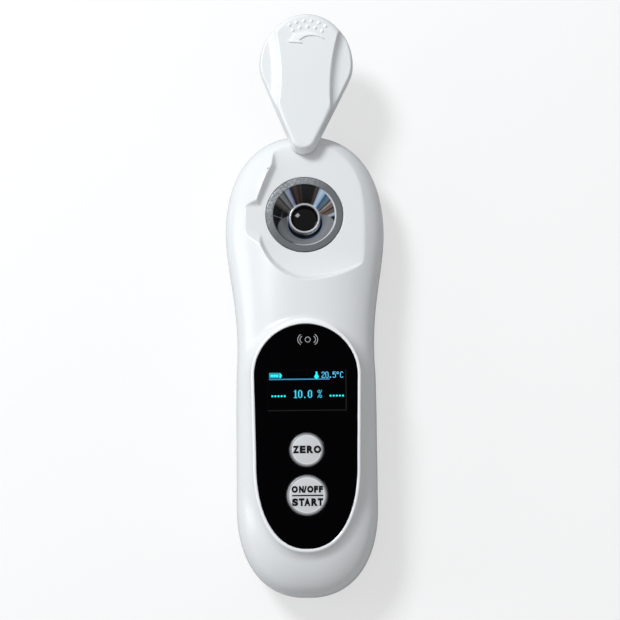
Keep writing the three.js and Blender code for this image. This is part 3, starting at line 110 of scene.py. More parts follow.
TIP_CUT = 0.1
SLOPE_STEP = 0.05
LEAST_SLOPE = 1 / 80
KNUCKLE = 4.8
KNUCKLE_BLEND = 1.5

# Panel and its raised surround
LIP_TOP = COVER_HIGH[2]
LIP_WIDTH = 1.3
LIP_ROUND = 0.4
SURROUND_LEAN = 0.29
SURROUND_BLEND = 2.6
PANEL_SLACK = 0.15
PANEL_TOP_HALF = PANEL_HIGH[0]
PANEL_END_HALF = 18.7
PANEL_END_LENGTH = 32
PANEL_END_POWER = 2.25
PANEL_TOP_Y = PANEL_HIGH[1] - PANEL_TOP_HALF
PANEL_END_Y = PANEL_LOW[1] + PANEL_END_LENGTH
LEDGE_TOP = PANEL_LOW[2] - 0.3
LEDGE_FOOT = LEDGE_TOP - 1.7

# Recess in the head
PIVOT_Y = (BUSH_LOW[1] + BUSH_HIGH[1]) / 2
FLOOR = BUSH_HIGH[2]
WELL_Y = (DISH_LOW[1] + DISH_HIGH[1]) / 2
CLOSED_TURN = math.radians(178)
BOWL_SIDE = 18.9
BOWL_SHOULDER = 31
BOWL_END = 22.6
BOWL_DRAFT = math.radians(28)
NOTCH_FOOT = (-18.5, WELL_Y - 7.8)
NOTCH_TURN = math.radians(8.8)
NOTCH_ANGLE = math.radians(33)
NOTCH_TOP = WELL_Y + 3.8
STOP_DRAFT = math.radians(41)
STOP_UPPER = (-10.6, 75.1)
STOP_LOWER = (-17.0, 60.0)
STOP_TURN = math.radians(98)
RAMP_FOLD_Y = WELL_Y - 17.5
RAMP_ANGLE = math.radians(8)
RECESS_FOOT = 0.55
RECESS_EDGE = 0.3
STOP_ROUND = 0.35

# Bores of the front shell
DISH_BORE = 15.05
DISH_SEAT = DISH_HIGH[2] - 1.5
CONE_BORE = 12.9
BUSH_BORE = 3
KEY_SLACK = 0.3
KEY_FLANGE = 1.0
KEY_SHOULDER = 0.95
KEY_CROWN = 0.3
COLUMN_PLACES = [(x, y) for x in (-19.5, 19.5) for y in (-66, 70)]
COLUMN_RADIUS = 3.4
COLUMN_BORE = 1.45
BOARD_POSTS = [(x, y) for x in (-15.2, 15.2) for y in (-61, 2)]
BOARD_POST_RADIUS = 1.9
BOARD_POST_FOOT = GLASS_LOW[2] - 3.5
OPTICS_POSTS = [(x, WELL_Y) for x in (-16.6, 16.6)]
OPTICS_POST_RADIUS = 2.5
OPTICS_POST_FOOT = 17.6

# Window and pocket of the display
DISPLAY_Y = (GLASS_LOW[1] + GLASS_HIGH[1]) / 2
WINDOW_HALF = (15.3, 8.3)
WINDOW_FOOT = 20
POCKET_HALF = (18.65, 12.85)
POCKET_FOOT = 15

# Back shell, battery bay and door
DOOR_HALF = 14.2
DOOR_NORTH = -13
DOOR_THICK = 2
DOOR_RISE = 7
DOOR_GAP = 0.3
EDGE_ROUND = 0.35
BELOW = -5
BAY_HALF = 11.8
BAY_SOUTH = -74
BAY_NORTH = -24.7
BAY_TOP = 13.2
BAY_WALL = 1
PARTITION_HALF = 0.6
PARTITION_SOUTH = BAY_SOUTH + 0.7
PARTITION_END = (BAY_NORTH + 0.1, BAY_TOP + 0.5)
RIB_SIDES = (7.4, 8.6)
RIB_LENGTH = 17
RIB_TOP = 12
SCREW_LEVEL = 5.6
SCREW_HEAD = 2.3
SCREW_SLACK = 0.15
HOOK_SOUTHS = (-60, -40)
HOOK_LENGTH = 7
HOOK_SIDES = (13.1, 15.6)
HOOK_LEVELS = (1, 3.6, 4.5)
LATCH_HALF = 4
LATCH_DEPTH = 2
LATCH_REACH = 2.4
LATCH_LEVELS = (1, 2.5, 3.5)
GRIP_GROOVES = [DOOR_NORTH - 8 - 2.2 * i for i in range(5)]
GROOVE_HALF = 8
GROOVE_LEVEL = -0.2
GROOVE_RADIUS = 0.75
GROOVE_ROUND = 0.2

# Lid, measured from its pivot
LID_LEAN = math.radians(2.2)
LID_FOOT = FLOOR + 0.5
LID_TOP = LID_FOOT + 6
LID_NECK = 5.5
LID_HALF = 18.5
LID_BULB = 31
LID_OUTER = 21.2
LID_INNER = 17
LID_DRAFTS = (0.16, 0.28)
LID_ROUNDS = (1.0, 1.9)
LID_WIDENS = (5, 25)
SCOOP_RADIUS = 85
SCOOP_FROM_AXIS = 9.55
SCOOP_CENTRE = 22
SCOOP_DEPTH = 3.1
SCOOP_FILLET = 4.1
SCOOP_EDGE = 0.4
LID_FOOT_ROUND = 0.3
LID_SKIRT = 2.4
LID_NECK_SOLID = 8
LID_HOLLOW = ((-6.5, 12, 20), (6.5, 42, LID_TOP - 1.6))
PIN_RADIUS = 2
PIN_FOOT = BUSH_LOW[2] - 0.2
PIN_BORE = 1
PIN_BORE_TOP = BUSH_LOW[2] + 4.8
MARK_CENTRE = (0.2, 34.0)
DOT_ROWS = ((6, 13.5), (5, 11.0))
DOT_SPAN = math.radians(63)
DOT_SINK = 0.55
ARROW_OUTER = (8.65, 9.1)
ARROW_INNER = (6.15, 8.75)
ARROW_SPAN = (math.radians(-28), math.radians(46))
ARROW_HEAD = ((-1.57, 38.12), (-7.07, 38.38), (-4.78, 42.05))
ARROW_RISE = 0.5
ARROW_ROOT = 0.4
ARROW_BEVEL = 0.22

# Panel's bevel, the window's rim round the display, and the signal mark's ring and arcs
PANEL_BEVEL = 0.12
PRINT_SUNK = 0.01
PRINT_RISE = 0.02
RIM_RISE = 0.015
RIM_OUTER = ((-14.8, -7.9), (14.8, 7.7))
RIM_INNER = ((-14.76, -7.45), (14.3, 7.66))
MARK_PLACE = (0.8, 5.5)
MARK_RADII = (1.08, 0.88)
ARC_SHIFT = 1.53
ARC_HALF_WIDTH = 0.11
ARCS = ((1.4, math.radians(62)), (2.25, math.radians(60)))

# Dish and prism
DISH_RADIUS = DISH_HIGH[0]
DISH_TOP = DISH_HIGH[2]
MOUTH = 12.2
DISH_FLOOR = DISH_TOP - 7.5
DISH_FOOT = 6.9
BEZEL = 6.05
BEZEL_TOP = DISH_FLOOR + 2.2
PRISM_RADIUS = PRISM_HIGH[0]
PRISM_TOP = PRISM_HIGH[2]
PRISM_BORE = PRISM_RADIUS + 0.12
HUB = 8.2
DISH_WALL = 1.1
DOME_RISE = 0.3
DOME_CROWN = 1.3
FLANGE = 1.2
DISH_ROUNDS = (0.25, 0.35, 0.5, 0.35, 0.2)
CONE_RISE = 0.7
TOE_REACH = 0.4
PRISM_FOOT = 6
WEDGE_HALF = 3.2
WEDGE_TOP = 3.7
WEDGE_FOOT = 1.5
WEDGE_RISE = 6.3

# Marks that the polished cone mirrors, as centres and radii on its plan
MIRROR_CENTRE = (0.7, -4.3)
MIRROR_RADII = (11.0, 7.5)
SEAT_SHADOW_CENTRE = (0.2, -1.8)
SEAT_SHADOW_RADII = (6.9, 6.9)

# Camera, fitted to the photograph
CAMERA_TARGET = Vector((1.77, 20.35, 15)) * MM
CAMERA_TILT = math.radians(12)
CAMERA_DISTANCE = 650 * MM
CAMERA_LENS = 97.1
CAMERA_SENSOR = 36
CAMERA_ROLL = math.radians(0.6)
LAMP_TARGET = Vector((0, 0.02, 0))
FLOOR_HALF = 1.5
FLOOR_GLOW = 0.55


def mix(a, b, share):
    return a + (b - a) * share


def ease(share):
    """A share from 0 to 1 with a soft start and end."""
    return (1 - np.cos(np.pi * np.clip(share, 0, 1))) / 2


def round_union(a, b, radius):
    """Two solids joined with a circular fillet between them."""
    u = np.maximum(radius - a, 0)
    v = np.maximum(radius - b, 0)
    return np.maximum(radius, np.minimum(a, b)) - np.hypot(u, v)


def round_common(a, b, radius):
    """What two solids share, with the edge between them rounded."""
    u = np.maximum(radius + a, 0)
    v = np.maximum(radius + b, 0)
    return np.minimum(-radius, np.maximum(a, b)) + np.hypot(u, v)


def carve(solid, tool, radius=0.0):
    """A solid less a tool, with the edge left behind rounded."""
    if radius:
        return round_common(solid, -tool, radius)
    return np.maximum(solid, -tool)


def post(x, y, place, radius):
    """Distance to an upright round post."""
    return np.hypot(x - place[0], y - place[1]) - radius


def both_sides(near, far):
    """A range across the body and its mirror image, each from its lower end."""
    return (-far, -near), (near, far)


def slab(x, y, z, low, high):
    """A box between two corners, as the largest of its six plane distances."""
    sides = [low[0] - x, x - high[0], low[1] - y, y - high[1], low[2] - z, z - high[2]]
    return np.maximum.reduce(sides)


def gauge(x, y, z, height, eases, power, inset=0.0):
    """Below zero inside the body: superellipse sections on a rounded outline."""
    north = np.clip((y - HEAD_Y) / (HEAD_END - inset), 0, None)
    south = np.clip((HANDLE_Y - y) / (HANDLE_END - inset), 0, None)
    end = north + south
    to_waist = np.clip((HEAD_Y - y) / (HEAD_Y - WAIST_Y), 0, None) ** WAIST_SKEW
    to_handle = (WAIST_Y - y) / (WAIST_Y - HANDLE_WIDE_Y)
    head = mix(HEAD_HALF, WAIST_HALF, ease(to_waist))
    half = np.where(y > WAIST_Y, head, mix(WAIST_HALF, HANDLE_HALF, ease(to_handle))) - inset
    across = ((np.abs(x) / half) ** OUTLINE_POWER + end ** OUTLINE_POWER) ** (1 / OUTLINE_POWER)
    fall_north = np.clip((y - NORTH + eases[0]) / (eases[0] - inset), 0, FALL_LIMIT)
    fall_south = np.clip((eases[1] - NORTH - y) / (eases[1] - inset), 0, FALL_LIMIT)
    profile = ((1 - fall_north ** END_POWER) * (1 - fall_south ** END_POWER)) ** (1 / END_POWER)
    spread = (1 - np.clip(end, 0, FALL_LIMIT) ** power) ** (1 / power)
    up = np.abs(z - PARTING) / ((height - inset) * profile / spread)
    return (across ** power + up ** power) ** (1 / power) - 1


def body_distance(x, y, z, height, eases, power):
    """About the distance to the body's skin, from the gauge and its slope."""
    here = gauge(x, y, z, height, eases, power)
    slope = np.sqrt(sum((gauge(x + dx, y + dy, z + dz, height, eases, power) - here) ** 2
                        for dx, dy, dz in np.eye(3) * SLOPE_STEP)) / SLOPE_STEP
    return np.maximum(here / np.maximum(slope, LEAST_SLOPE), np.abs(y) - NORTH + TIP_CUT)


def front_power(y):
    return mix(HEAD_POWER, HANDLE_POWER, ease((HEAD_Y - y) / (HEAD_Y - WAIST_Y)))


def panel_distance(x, y):
    """Distance to the panel's outline: a round top, tapered sides and a long round end."""
    top = np.hypot(x, y - PANEL_TOP_Y) - PANEL_TOP_HALF
    share = np.clip((PANEL_TOP_Y - y) / (PANEL_TOP_Y - PANEL_END_Y), 0, 1)
    side = np.abs(x) - mix(PANEL_TOP_HALF, PANEL_END_HALF, share)
    power = PANEL_END_POWER
    u = np.abs(x) / PANEL_END_HALF
    v = np.maximum(PANEL_END_Y - y, 0) / PANEL_END_LENGTH
    level = np.maximum((u ** power + v ** power) ** (1 / power), 1e-3)
    slope = np.hypot(u ** (power - 1) / PANEL_END_HALF, v ** (power - 1) / PANEL_END_LENGTH)
    end = (level - 1) * level ** (power - 1) / np.maximum(slope, 1e-3)
    return np.where(y > PANEL_TOP_Y, top, np.where(y > PANEL_END_Y, side, end))


def bowl_plan(x, y):
    """Distance to the bowl's outline, in the frame of the closed lid."""
    c, s = math.cos(CLOSED_TURN), math.sin(CLOSED_TURN)
    u = x * c - (y - PIVOT_Y) * s
    t = x * s + (y - PIVOT_Y) * c
    du, dt = u / BOWL_SIDE, (t - BOWL_SHOULDER) / BOWL_END
    level = np.hypot(du, dt)
    round_end = level * (level - 1) / np.maximum(np.hypot(du / BOWL_SIDE, dt / BOWL_END), 1e-3)
    swing = np.hypot(u, t) - BOWL_SHOULDER - BOWL_END
    west = np.where(t > BOWL_SHOULDER, round_end, u - BOWL_SIDE)
    return np.where(u > 0, west, swing)


def edge_distance(x, y, start, heading):
    """Distance to the left of a line that starts at a place and runs along a heading."""
    return -(x - start[0]) * math.sin(heading) + (y - start[1]) * math.cos(heading)


def stop_distance(x, y, z):
    """The crescent that stays west of the closed lid; its walls lean inwards."""
    lean = (z - FLOOR) * math.tan(STOP_DRAFT)
    flank = math.atan2(STOP_UPPER[1] - STOP_LOWER[1], STOP_UPPER[0] - STOP_LOWER[0])
    east = -edge_distance(x, y, STOP_LOWER, flank) + lean
    north = -edge_distance(x, y, STOP_UPPER, STOP_TURN) + lean
    south = NOTCH_TOP - y + lean
    sides = round_common(round_common(east, north, STOP_ROUND), south, STOP_ROUND)
    return sides * math.cos(STOP_DRAFT)


def recess_distance(x, y, z):
    """The space that the closed lid and the thumb need, below zero inside it."""
    rise = z - FLOOR
    bowl = (bowl_plan(x, y) - rise * math.tan(BOWL_DRAFT)) * math.cos(BOWL_DRAFT)
    along = (x - NOTCH_FOOT[0]) * math.sin(NOTCH_TURN) + (y - NOTCH_FOOT[1]) * math.cos(NOTCH_TURN)
    notch = -(rise * math.cos(NOTCH_ANGLE) + along * math.sin(NOTCH_ANGLE))
    space = round_union(bowl, notch, RECESS_EDGE)
    ramp = (RAMP_FOLD_Y - y) * math.sin(RAMP_ANGLE) - rise * math.cos(RAMP_ANGLE)
    space = round_common(space, -rise, RECESS_FOOT)
    space = round_common(space, ramp, RECESS_FOOT)
    return carve(space, stop_distance(x, y, z), RECESS_FOOT)


def front_skin(p):
    """The front shell's outside: crown, raised surround, knuckle and recess."""
    x, y, z = p.T
    crown = body_distance(x, y, z, FRONT_HEIGHT, FRONT_EASES, front_power(y))
    beside = panel_distance(x, y)
    flank = beside - LIP_WIDTH - (LIP_TOP - LIP_ROUND - z) * SURROUND_LEAN
    surround = round_common(flank * math.cos(math.atan(SURROUND_LEAN)), z - LIP_TOP, LIP_ROUND)
    knuckle = post(x, y, (0, PIVOT_Y), KNUCKLE)
    solid = round_union(round_union(crown, surround, SURROUND_BLEND), knuckle, KNUCKLE_BLEND)
    solid = carve(solid, recess_distance(x, y, z), RECESS_EDGE)
    slot = np.maximum(beside - PANEL_SLACK, LEDGE_TOP - z)
    solid = carve(solid, slot, LIP_ROUND / 2)
    bore = np.maximum(post(x, y, (0, WELL_Y), DISH_BORE), DISH_SEAT - z)
    return carve(solid, bore, LIP_ROUND / 2), crown


def key_places():
    """Each key's centre along the body and the radius of its cap."""
    return [((low[1] + high[1]) / 2, (high[0] - low[0]) / 2 - KEY_FLANGE)
            for low, high in ((ZERO_LOW, ZERO_HIGH), (START_LOW, START_HIGH))]


def front_field(p):
    """The front shell: its skin, hollow inside but for posts and ledges, with its bores."""
    x, y, z = p.T
    skin, crown = front_skin(p)
    ceiling_from = PIVOT_Y - BOWL_SHOULDER - BOWL_END - 5 * math.tan(BOWL_DRAFT) - WALL
    low_ceiling = np.minimum(z - FLOOR + WALL, y - ceiling_from)
    room = np.maximum(crown + WALL, low_ceiling)
    beside = panel_distance(x, y)
    room = carve(room, np.maximum(np.maximum(beside, LEDGE_FOOT - z), z - LEDGE_TOP))
    room = carve(room, post(x, y, (0, PIVOT_Y), KNUCKLE))
    for place in COLUMN_PLACES:
        room = carve(room, post(x, y, place, COLUMN_RADIUS))
    for place in BOARD_POSTS:
        room = carve(room, np.maximum(post(x, y, place, BOARD_POST_RADIUS), BOARD_POST_FOOT - z))
    for place in OPTICS_POSTS:
        room = carve(room, np.maximum(post(x, y, place, OPTICS_POST_RADIUS), OPTICS_POST_FOOT - z))
    solid = carve(skin, room)
    for (wide, along), low, high in ((WINDOW_HALF, WINDOW_FOOT, CREST),
                                     (POCKET_HALF, POCKET_FOOT, LEDGE_FOOT)):
        solid = carve(solid, slab(x, y, z, (-wide, DISPLAY_Y - along, low), (wide, DISPLAY_Y + along, high)))
    for middle, radius in key_places():
        solid = carve(solid, post(x, y, (0, middle), radius + KEY_SLACK))
    solid = carve(solid, post(x, y, (0, WELL_Y), CONE_BORE))
    solid = carve(solid, post(x, y, (0, PIVOT_Y), BUSH_BORE))
    return round_common(solid, FRONT_FOOT - z, SEAM_ROUND)


def back_distance(x, y, z):
    """Distance to the back's skin, and to the body without its flat underside."""
    body = body_distance(x, y, z, BACK_DEPTH, BACK_EASES, BACK_POWER)
    return round_common(body, -z, BACK_ROUND), body


def rear_field(p):
    """The rear shell: columns, doorway, battery bay, two ribs and the screws' recesses."""
    x, y, z = p.T
    skin, body = back_distance(x, y, z)
    room = np.maximum(body + WALL, WALL - z)
    for place in COLUMN_PLACES:
        room = carve(room, post(x, y, place, COLUMN_RADIUS))
    solid = carve(skin, room)
    door_side = DOOR_HALF + DOOR_GAP
    doorway = slab(x, y, z, (-door_side, -NORTH + BELOW, BELOW),
                   (door_side, DOOR_NORTH + DOOR_GAP, DOOR_RISE + DOOR_GAP))
    solid = carve(solid, doorway, EDGE_ROUND)
    outer = BAY_HALF + BAY_WALL
    tray = slab(x, y, z, (-outer, BAY_SOUTH - BAY_WALL, 0), (outer, BAY_NORTH + BAY_WALL, BAY_TOP + BAY_WALL))
    tray = carve(tray, slab(x, y, z, (-BAY_HALF, BAY_SOUTH, BELOW), (BAY_HALF, BAY_NORTH, BAY_TOP)))
    partition = slab(x, y, z, (-PARTITION_HALF, PARTITION_SOUTH, 0), (PARTITION_HALF, *PARTITION_END))
    trays = np.maximum(np.minimum(tray, partition), np.maximum(body, -z) + DOOR_THICK + DOOR_GAP)
    solid = np.minimum(solid, trays)
    for near, far in both_sides(*RIB_SIDES):
        rib = slab(x, y, z, (near, BAY_NORTH, 0), (far, BAY_NORTH + RIB_LENGTH, RIB_TOP))
        solid = np.minimum(solid, carve(np.maximum(rib, skin), doorway))
    for place in COLUMN_PLACES:
        recess = np.maximum(post(x, y, place, SCREW_HEAD + SCREW_SLACK), z - SCREW_LEVEL)
        solid = carve(carve(solid, recess, EDGE_ROUND), post(x, y, place, COLUMN_BORE))
    return round_common(solid, z - BACK_RIM, SEAM_ROUND)


def door_field(p):
    """The battery door: thin skin, four hooks, a latch and the grip's grooves."""
    x, y, z = p.T
    skin, body = back_distance(x, y, z)
    room = np.maximum(body + DOOR_THICK, DOOR_THICK - z)
    solid = carve(skin, room)
    sides = np.maximum(np.abs(x) - DOOR_HALF, y - DOOR_NORTH)
    solid = round_common(solid, sides, EDGE_ROUND)
    solid = round_common(solid, z - DOOR_RISE, SEAM_ROUND)
    root, under, top = HOOK_LEVELS
    for south in HOOK_SOUTHS:
        north = south + HOOK_LENGTH
        for width, foot in ((DOOR_HALF, root), (HOOK_SIDES[1], under)):
            for near, far in both_sides(HOOK_SIDES[0], width):
                solid = np.minimum(solid, slab(x, y, z, (near, south, foot), (far, north, top)))
    root, under, top = LATCH_LEVELS
    for foot, north in ((root, DOOR_NORTH), (under, DOOR_NORTH + LATCH_REACH)):
        latch = slab(x, y, z, (-LATCH_HALF, DOOR_NORTH - LATCH_DEPTH, foot), (LATCH_HALF, north, top))
        solid = np.minimum(solid, latch)
    along = np.maximum(np.abs(x) - GROOVE_HALF, 0)
    for groove in GRIP_GROOVES:
        tool = np.hypot(np.hypot(along, y - groove), z - GROOVE_LEVEL) - GROOVE_RADIUS
        solid = carve(solid, tool, GROOVE_ROUND)
    return solid


class Teardrop:
    """Distance to the lid's outline, the hull of the neck's circle and the bulb, from a grid."""

    cell = 0.25
    reach = 28

    def __init__(self):
        self.u = np.arange(-self.reach, self.reach + self.cell, self.cell)
        self.t = np.arange(-12, LID_BULB + LID_OUTER + 8, self.cell)
        angle = np.linspace(0, 2 * np.pi, 720, endpoint=False)
        c, s = np.cos(angle), np.sin(angle)
        bulb_length = np.where(s > 0, LID_OUTER, LID_INNER)
        bulb = np.hypot(LID_HALF * c, bulb_length * s) + LID_BULB * s
        support = np.maximum(bulb, LID_NECK)
        u, t = np.meshgrid(self.u, self.t, indexing="ij")
        far = np.full(u.shape, -np.inf)
        for k in range(len(angle)):
            far = np.maximum(far, u * c[k] + t * s[k] - support[k])
        self.values = far

    def __call__(self, u, t):
        i = np.clip((u - self.u[0]) / self.cell, 0, len(self.u) - 1.001)
        j = np.clip((t - self.t[0]) / self.cell, 0, len(self.t) - 1.001)
        i0, j0 = i.astype(int), j.astype(int)
        a, b = i - i0, j - j0
        grid = self.values
        west = mix(grid[i0, j0], grid[i0, j0 + 1], b)
        east = mix(grid[i0 + 1, j0], grid[i0 + 1, j0 + 1], b)
        return mix(west, east, a)


def lid_place(x, y):
    """Where a point lies across and along the lid."""
    c, s = math.cos(LID_LEAN), math.sin(LID_LEAN)
    return x * c - (y - PIVOT_Y) * s, x * s + (y - PIVOT_Y) * c


def lid_skin(p, teardrop):
    """The lid's outside, its place along and across the lid, and the distance to its outline."""
    x, y, z = p.T
    u, t = lid_place(x, y)
    beside = teardrop(u, t)
    wide = ease((t - LID_WIDENS[0]) / (LID_WIDENS[1] - LID_WIDENS[0]))
    draft = mix(*LID_DRAFTS, wide)
    flank = (beside + (z - LID_FOOT) * draft) / np.sqrt(1 + draft ** 2)
    solid = round_common(flank, z - LID_TOP, mix(*LID_ROUNDS, wide))
    edge = SCOOP_FROM_AXIS + (t - SCOOP_CENTRE) ** 2 / (2 * SCOOP_RADIUS)
    scoop = round_common(edge - np.abs(u), LID_TOP - SCOOP_DEPTH - z, SCOOP_FILLET)
    solid = carve(solid, scoop, SCOOP_EDGE)
    foot = LID_FOOT + np.maximum(t - PIVOT_Y + RAMP_FOLD_Y, 0) * math.tan(RAMP_ANGLE)
    return round_common(solid, foot - z, LID_FOOT_ROUND), u, t, beside


def lid_field(teardrop):
    """The lid's field: hollow under the liner, with the pivot's pin and its screw's bore."""
    def field(p):
        z = p[:, 2]
        solid, u, t, beside = lid_skin(p, teardrop)
        solid = carve(solid, np.maximum.reduce([beside + LID_SKIRT, z - LINER_TOP, LID_NECK_SOLID - t]))
        solid = carve(solid, slab(u, t, z, *LID_HOLLOW))
        reach = np.hypot(u, t)
        pin = np.maximum.reduce([reach - PIN_RADIUS, PIN_FOOT - z, z - LINER_TOP])
        return carve(np.minimum(solid, pin), np.maximum(reach - PIN_BORE, z - PIN_BORE_TOP))
    return field


# Samples round a point, the largest first move in shares of a cell, and the grid's batch
SETTLE_SHARE = 0.4
GRID_BATCH = 200000
TETRA = np.array([[1, -1, -1], [-1, -1, 1], [-1, 1, -1], [1, 1, 1]], float)


def sampled(field, points, step=0.02):
    """A field's value and slope at points, from four samples round each."""
    values = [field(points + step * corner) for corner in TETRA]
    slope = sum(v[:, None] * c for v, c in zip(values, TETRA)) / (4 * step)
    return sum(values) / 4, slope


def settled(field, points, reach, rounds=3):
    """Points moved along the slope onto the field's zero surface."""
    for _ in range(rounds):
        value, slope = sampled(field, points)
        move = value[:, None] * slope / np.maximum((slope ** 2).sum(1), 0.05)[:, None]
        size = np.linalg.norm(move, axis=1, keepdims=True)
        points = points - move * np.minimum(1, reach / np.maximum(size, 1e-9))
    return points


def surface_nets(values, low, cell):
    """One point for each cell that the surface crosses, and a quad for each edge it crosses."""
    shape = np.array(values.shape) - 1
    sums = np.zeros((shape.prod(), 3))
    counts = np.zeros(shape.prod())
    quads = []
    for axis in range(3):
        u, v = (axis + 1) % 3, (axis + 2) % 3
        first = np.take(values, range(values.shape[axis] - 1), axis)
        second = np.take(values, range(1, values.shape[axis]), axis)
        crossing = (first < 0) != (second < 0)
        at = np.argwhere(crossing)
        near, far = first[crossing], second[crossing]
        point = at.astype(float)
        point[:, axis] += near / (near - far)
        ring = []
        for du, dv in ((0, 0), (-1, 0), (-1, -1), (0, -1)):
            beside = at.copy()
            beside[:, u] += du
            beside[:, v] += dv
            ring.append(np.ravel_multi_index(beside.T, shape))
        for cells in ring:
            counts += np.bincount(cells, minlength=len(counts))
            for k in range(3):
                sums[:, k] += np.bincount(cells, point[:, k], len(counts))
        quad = np.stack(ring, 1)
        quads.append(np.where((near < 0)[:, None], quad, quad[:, ::-1]))
    used = counts > 0
    index = np.cumsum(used) - 1
    points = low + cell * sums[used] / counts[used][:, None]
    return points, index[np.concatenate(quads)]


def triangles_of(points, quads):
    """Each quad cut along its shorter diagonal."""
    a, b, c, d = quads.T
    short = np.linalg.norm(points[a] - points[c], axis=1) < np.linalg.norm(points[b] - points[d], axis=1)
    first = np.where(short[:, None], np.stack([a, b, c], 1), np.stack([a, b, d], 1))
    second = np.where(short[:, None], np.stack([a, c, d], 1), np.stack([b, c, d], 1))
    return np.concatenate([first, second])


def split_turns(field, points, faces, shown, turn, shortest, reach):
    """Cuts the edges across which a shown surface turns by more than an angle."""
    _, slope = sampled(field, points)
    normals = slope / np.maximum(np.linalg.norm(slope, axis=1, keepdims=True), 1e-9)
    pairs = np.sort(faces[:, [[0, 1], [1, 2], [2, 0]]], axis=2)
    keys = pairs[..., 0] * len(points) + pairs[..., 1]
    edges, edge_of = np.unique(keys, return_inverse=True)
    edge_of = edge_of.reshape(keys.shape)
    a, b = edges // len(points), edges % len(points)
    length = np.linalg.norm(points[a] - points[b], axis=1)
    bend = (normals[a] * normals[b]).sum(1) < math.cos(turn)
    marked = bend & (length > shortest) & shown(points[a]) & shown(points[b])
    crowded = marked[edge_of].sum(1) == 2
    marked[edge_of[crowded].ravel()] = True
    middle = np.full(len(edges), -1)
    middle[marked] = len(points) + np.arange(marked.sum())
    fresh = settled(field, (points[a[marked]] + points[b[marked]]) / 2, reach)
    mids = middle[edge_of]
    cuts = (mids >= 0).sum(1)
    made = [faces[cuts == 0]]
    for k in range(3):
        i, j, m = k, (k + 1) % 3, (k + 2) % 3
        one = (cuts == 1) & (mids[:, k] >= 0)
        f, x = faces[one], mids[one, k]
        made += [np.stack([f[:, i], x, f[:, m]], 1), np.stack([x, f[:, j], f[:, m]], 1)]
        two = (cuts == 2) & (mids[:, k] < 0)
        f, x, y = faces[two], mids[two, j], mids[two, m]
        made += [np.stack([x, f[:, m], y], 1), np.stack([f[:, j], x, y], 1)]
        made += [np.stack([f[:, j], y, f[:, i]], 1)]
    f, (x, y, z) = faces[cuts == 3], mids[cuts == 3].T
    made += [np.stack([f[:, 0], x, z], 1), np.stack([x, f[:, 1], y], 1)]
    made += [np.stack([z, y, f[:, 2]], 1), np.stack([x, y, z], 1)]
    return np.concatenate([points, fresh]), np.concatenate(made)


def moulded(name, field, shown, low, high, cell, splits, look):
    """A mesh of a field's zero surface, finer where the shown surface turns."""
    low = np.array(low, float) - 1.5 * cell
    count = np.ceil((np.array(high) + 1.5 * cell - low) / cell).astype(int) + 1
    axes = [low[k] + cell * np.arange(count[k]) for k in range(3)]
    grid = np.stack(np.meshgrid(*axes, indexing="ij"), -1).reshape(-1, 3)
    parts = np.array_split(grid, max(1, len(grid) // GRID_BATCH))
    values = np.concatenate([field(part) for part in parts]).reshape(count)
    values[np.abs(values) < 1e-6] = 1e-6
    points, quads = surface_nets(values, low, cell)
    move = settled(field, points, cell / 2) - points
    size = np.linalg.norm(move, axis=1, keepdims=True)
    points = points + move * np.minimum(1, SETTLE_SHARE * cell / np.maximum(size, 1e-9))
    faces = triangles_of(points, quads)
    for turn, shortest in splits:
        points, faces = split_turns(field, points, faces, shown, math.radians(turn), shortest, cell / 4)
    return solid_object(name, points, faces, look)


def linked(name, data):
    """A new object in the scene that holds some data."""
    made = bpy.data.objects.new(name, data)
    bpy.context.scene.collection.objects.link(made)
    return made


def raw_mesh(name, points, faces):
    """A mesh from points in millimetres."""
    mesh = bpy.data.meshes.new(name)
    mesh.from_pydata((np.asarray(points, float) * MM).tolist(), [], faces)
    return mesh


def smoothed(mesh, sharp=math.radians(30)):
    """Shades a mesh smooth but for its sharp edges."""
    mesh.shade_smooth()
    mesh.set_sharp_from_angle(angle=sharp)


def faced_out(mesh, merge=0.0):
    """Turns a mesh's faces outwards, once points within a distance are merged."""
    builder = bmesh.new()
    builder.from_mesh(mesh)
    if merge:
        bmesh.ops.remove_doubles(builder, verts=builder.verts, dist=merge)
    bmesh.ops.recalc_face_normals(builder, faces=builder.faces)
    builder.to_mesh(mesh)
    builder.free()


def evaluated(holder):
    """An object's final mesh; the object itself is removed."""
    bpy.context.view_layer.update()
    graph = bpy.context.evaluated_depsgraph_get()
    mesh = bpy.data.meshes.new_from_object(holder.evaluated_get(graph))
    bpy.data.objects.remove(holder)
    return mesh


def solid_object(name, points, faces, look, smooth=True):
    """An object from points in millimetres and faces that already look outwards."""
    mesh = raw_mesh(name, points, np.asarray(faces).tolist())
    mesh.update()
    mesh.validate()
    mesh.materials.append(look)
    if smooth:
        smoothed(mesh, math.radians(42))
    return linked(name, mesh)


def turned(name, profile, centre, look, steps):
    """A closed profile of radius and height turned about an upright axis, in millimetres."""
    angle = np.linspace(0, 2 * np.pi, steps, endpoint=False)
    points, rings = [], []
    for radius, height in profile:
        if radius < 1e-9:
            rings.append([len(points)] * steps)
            points.append((*centre, height))
        else:
            rings.append(list(range(len(points), len(points) + steps)))
            points += [(centre[0] + radius * math.cos(a), centre[1] + radius * math.sin(a), height)
                       for a in angle]
    faces = []
    for k, lower in enumerate(rings):
        upper = rings[(k + 1) % len(rings)]
        for i in range(steps):
            j = (i + 1) % steps
            quad = [lower[i], lower[j], upper[j], upper[i]]
            face = [v for n, v in enumerate(quad) if v != quad[n - 1]]
            if len(set(face)) > 2:
                faces.append(face)
    mesh = raw_mesh(name, points, faces)
    mesh.materials.append(look)
    faced_out(mesh)
    smoothed(mesh)
    return linked(name, mesh)


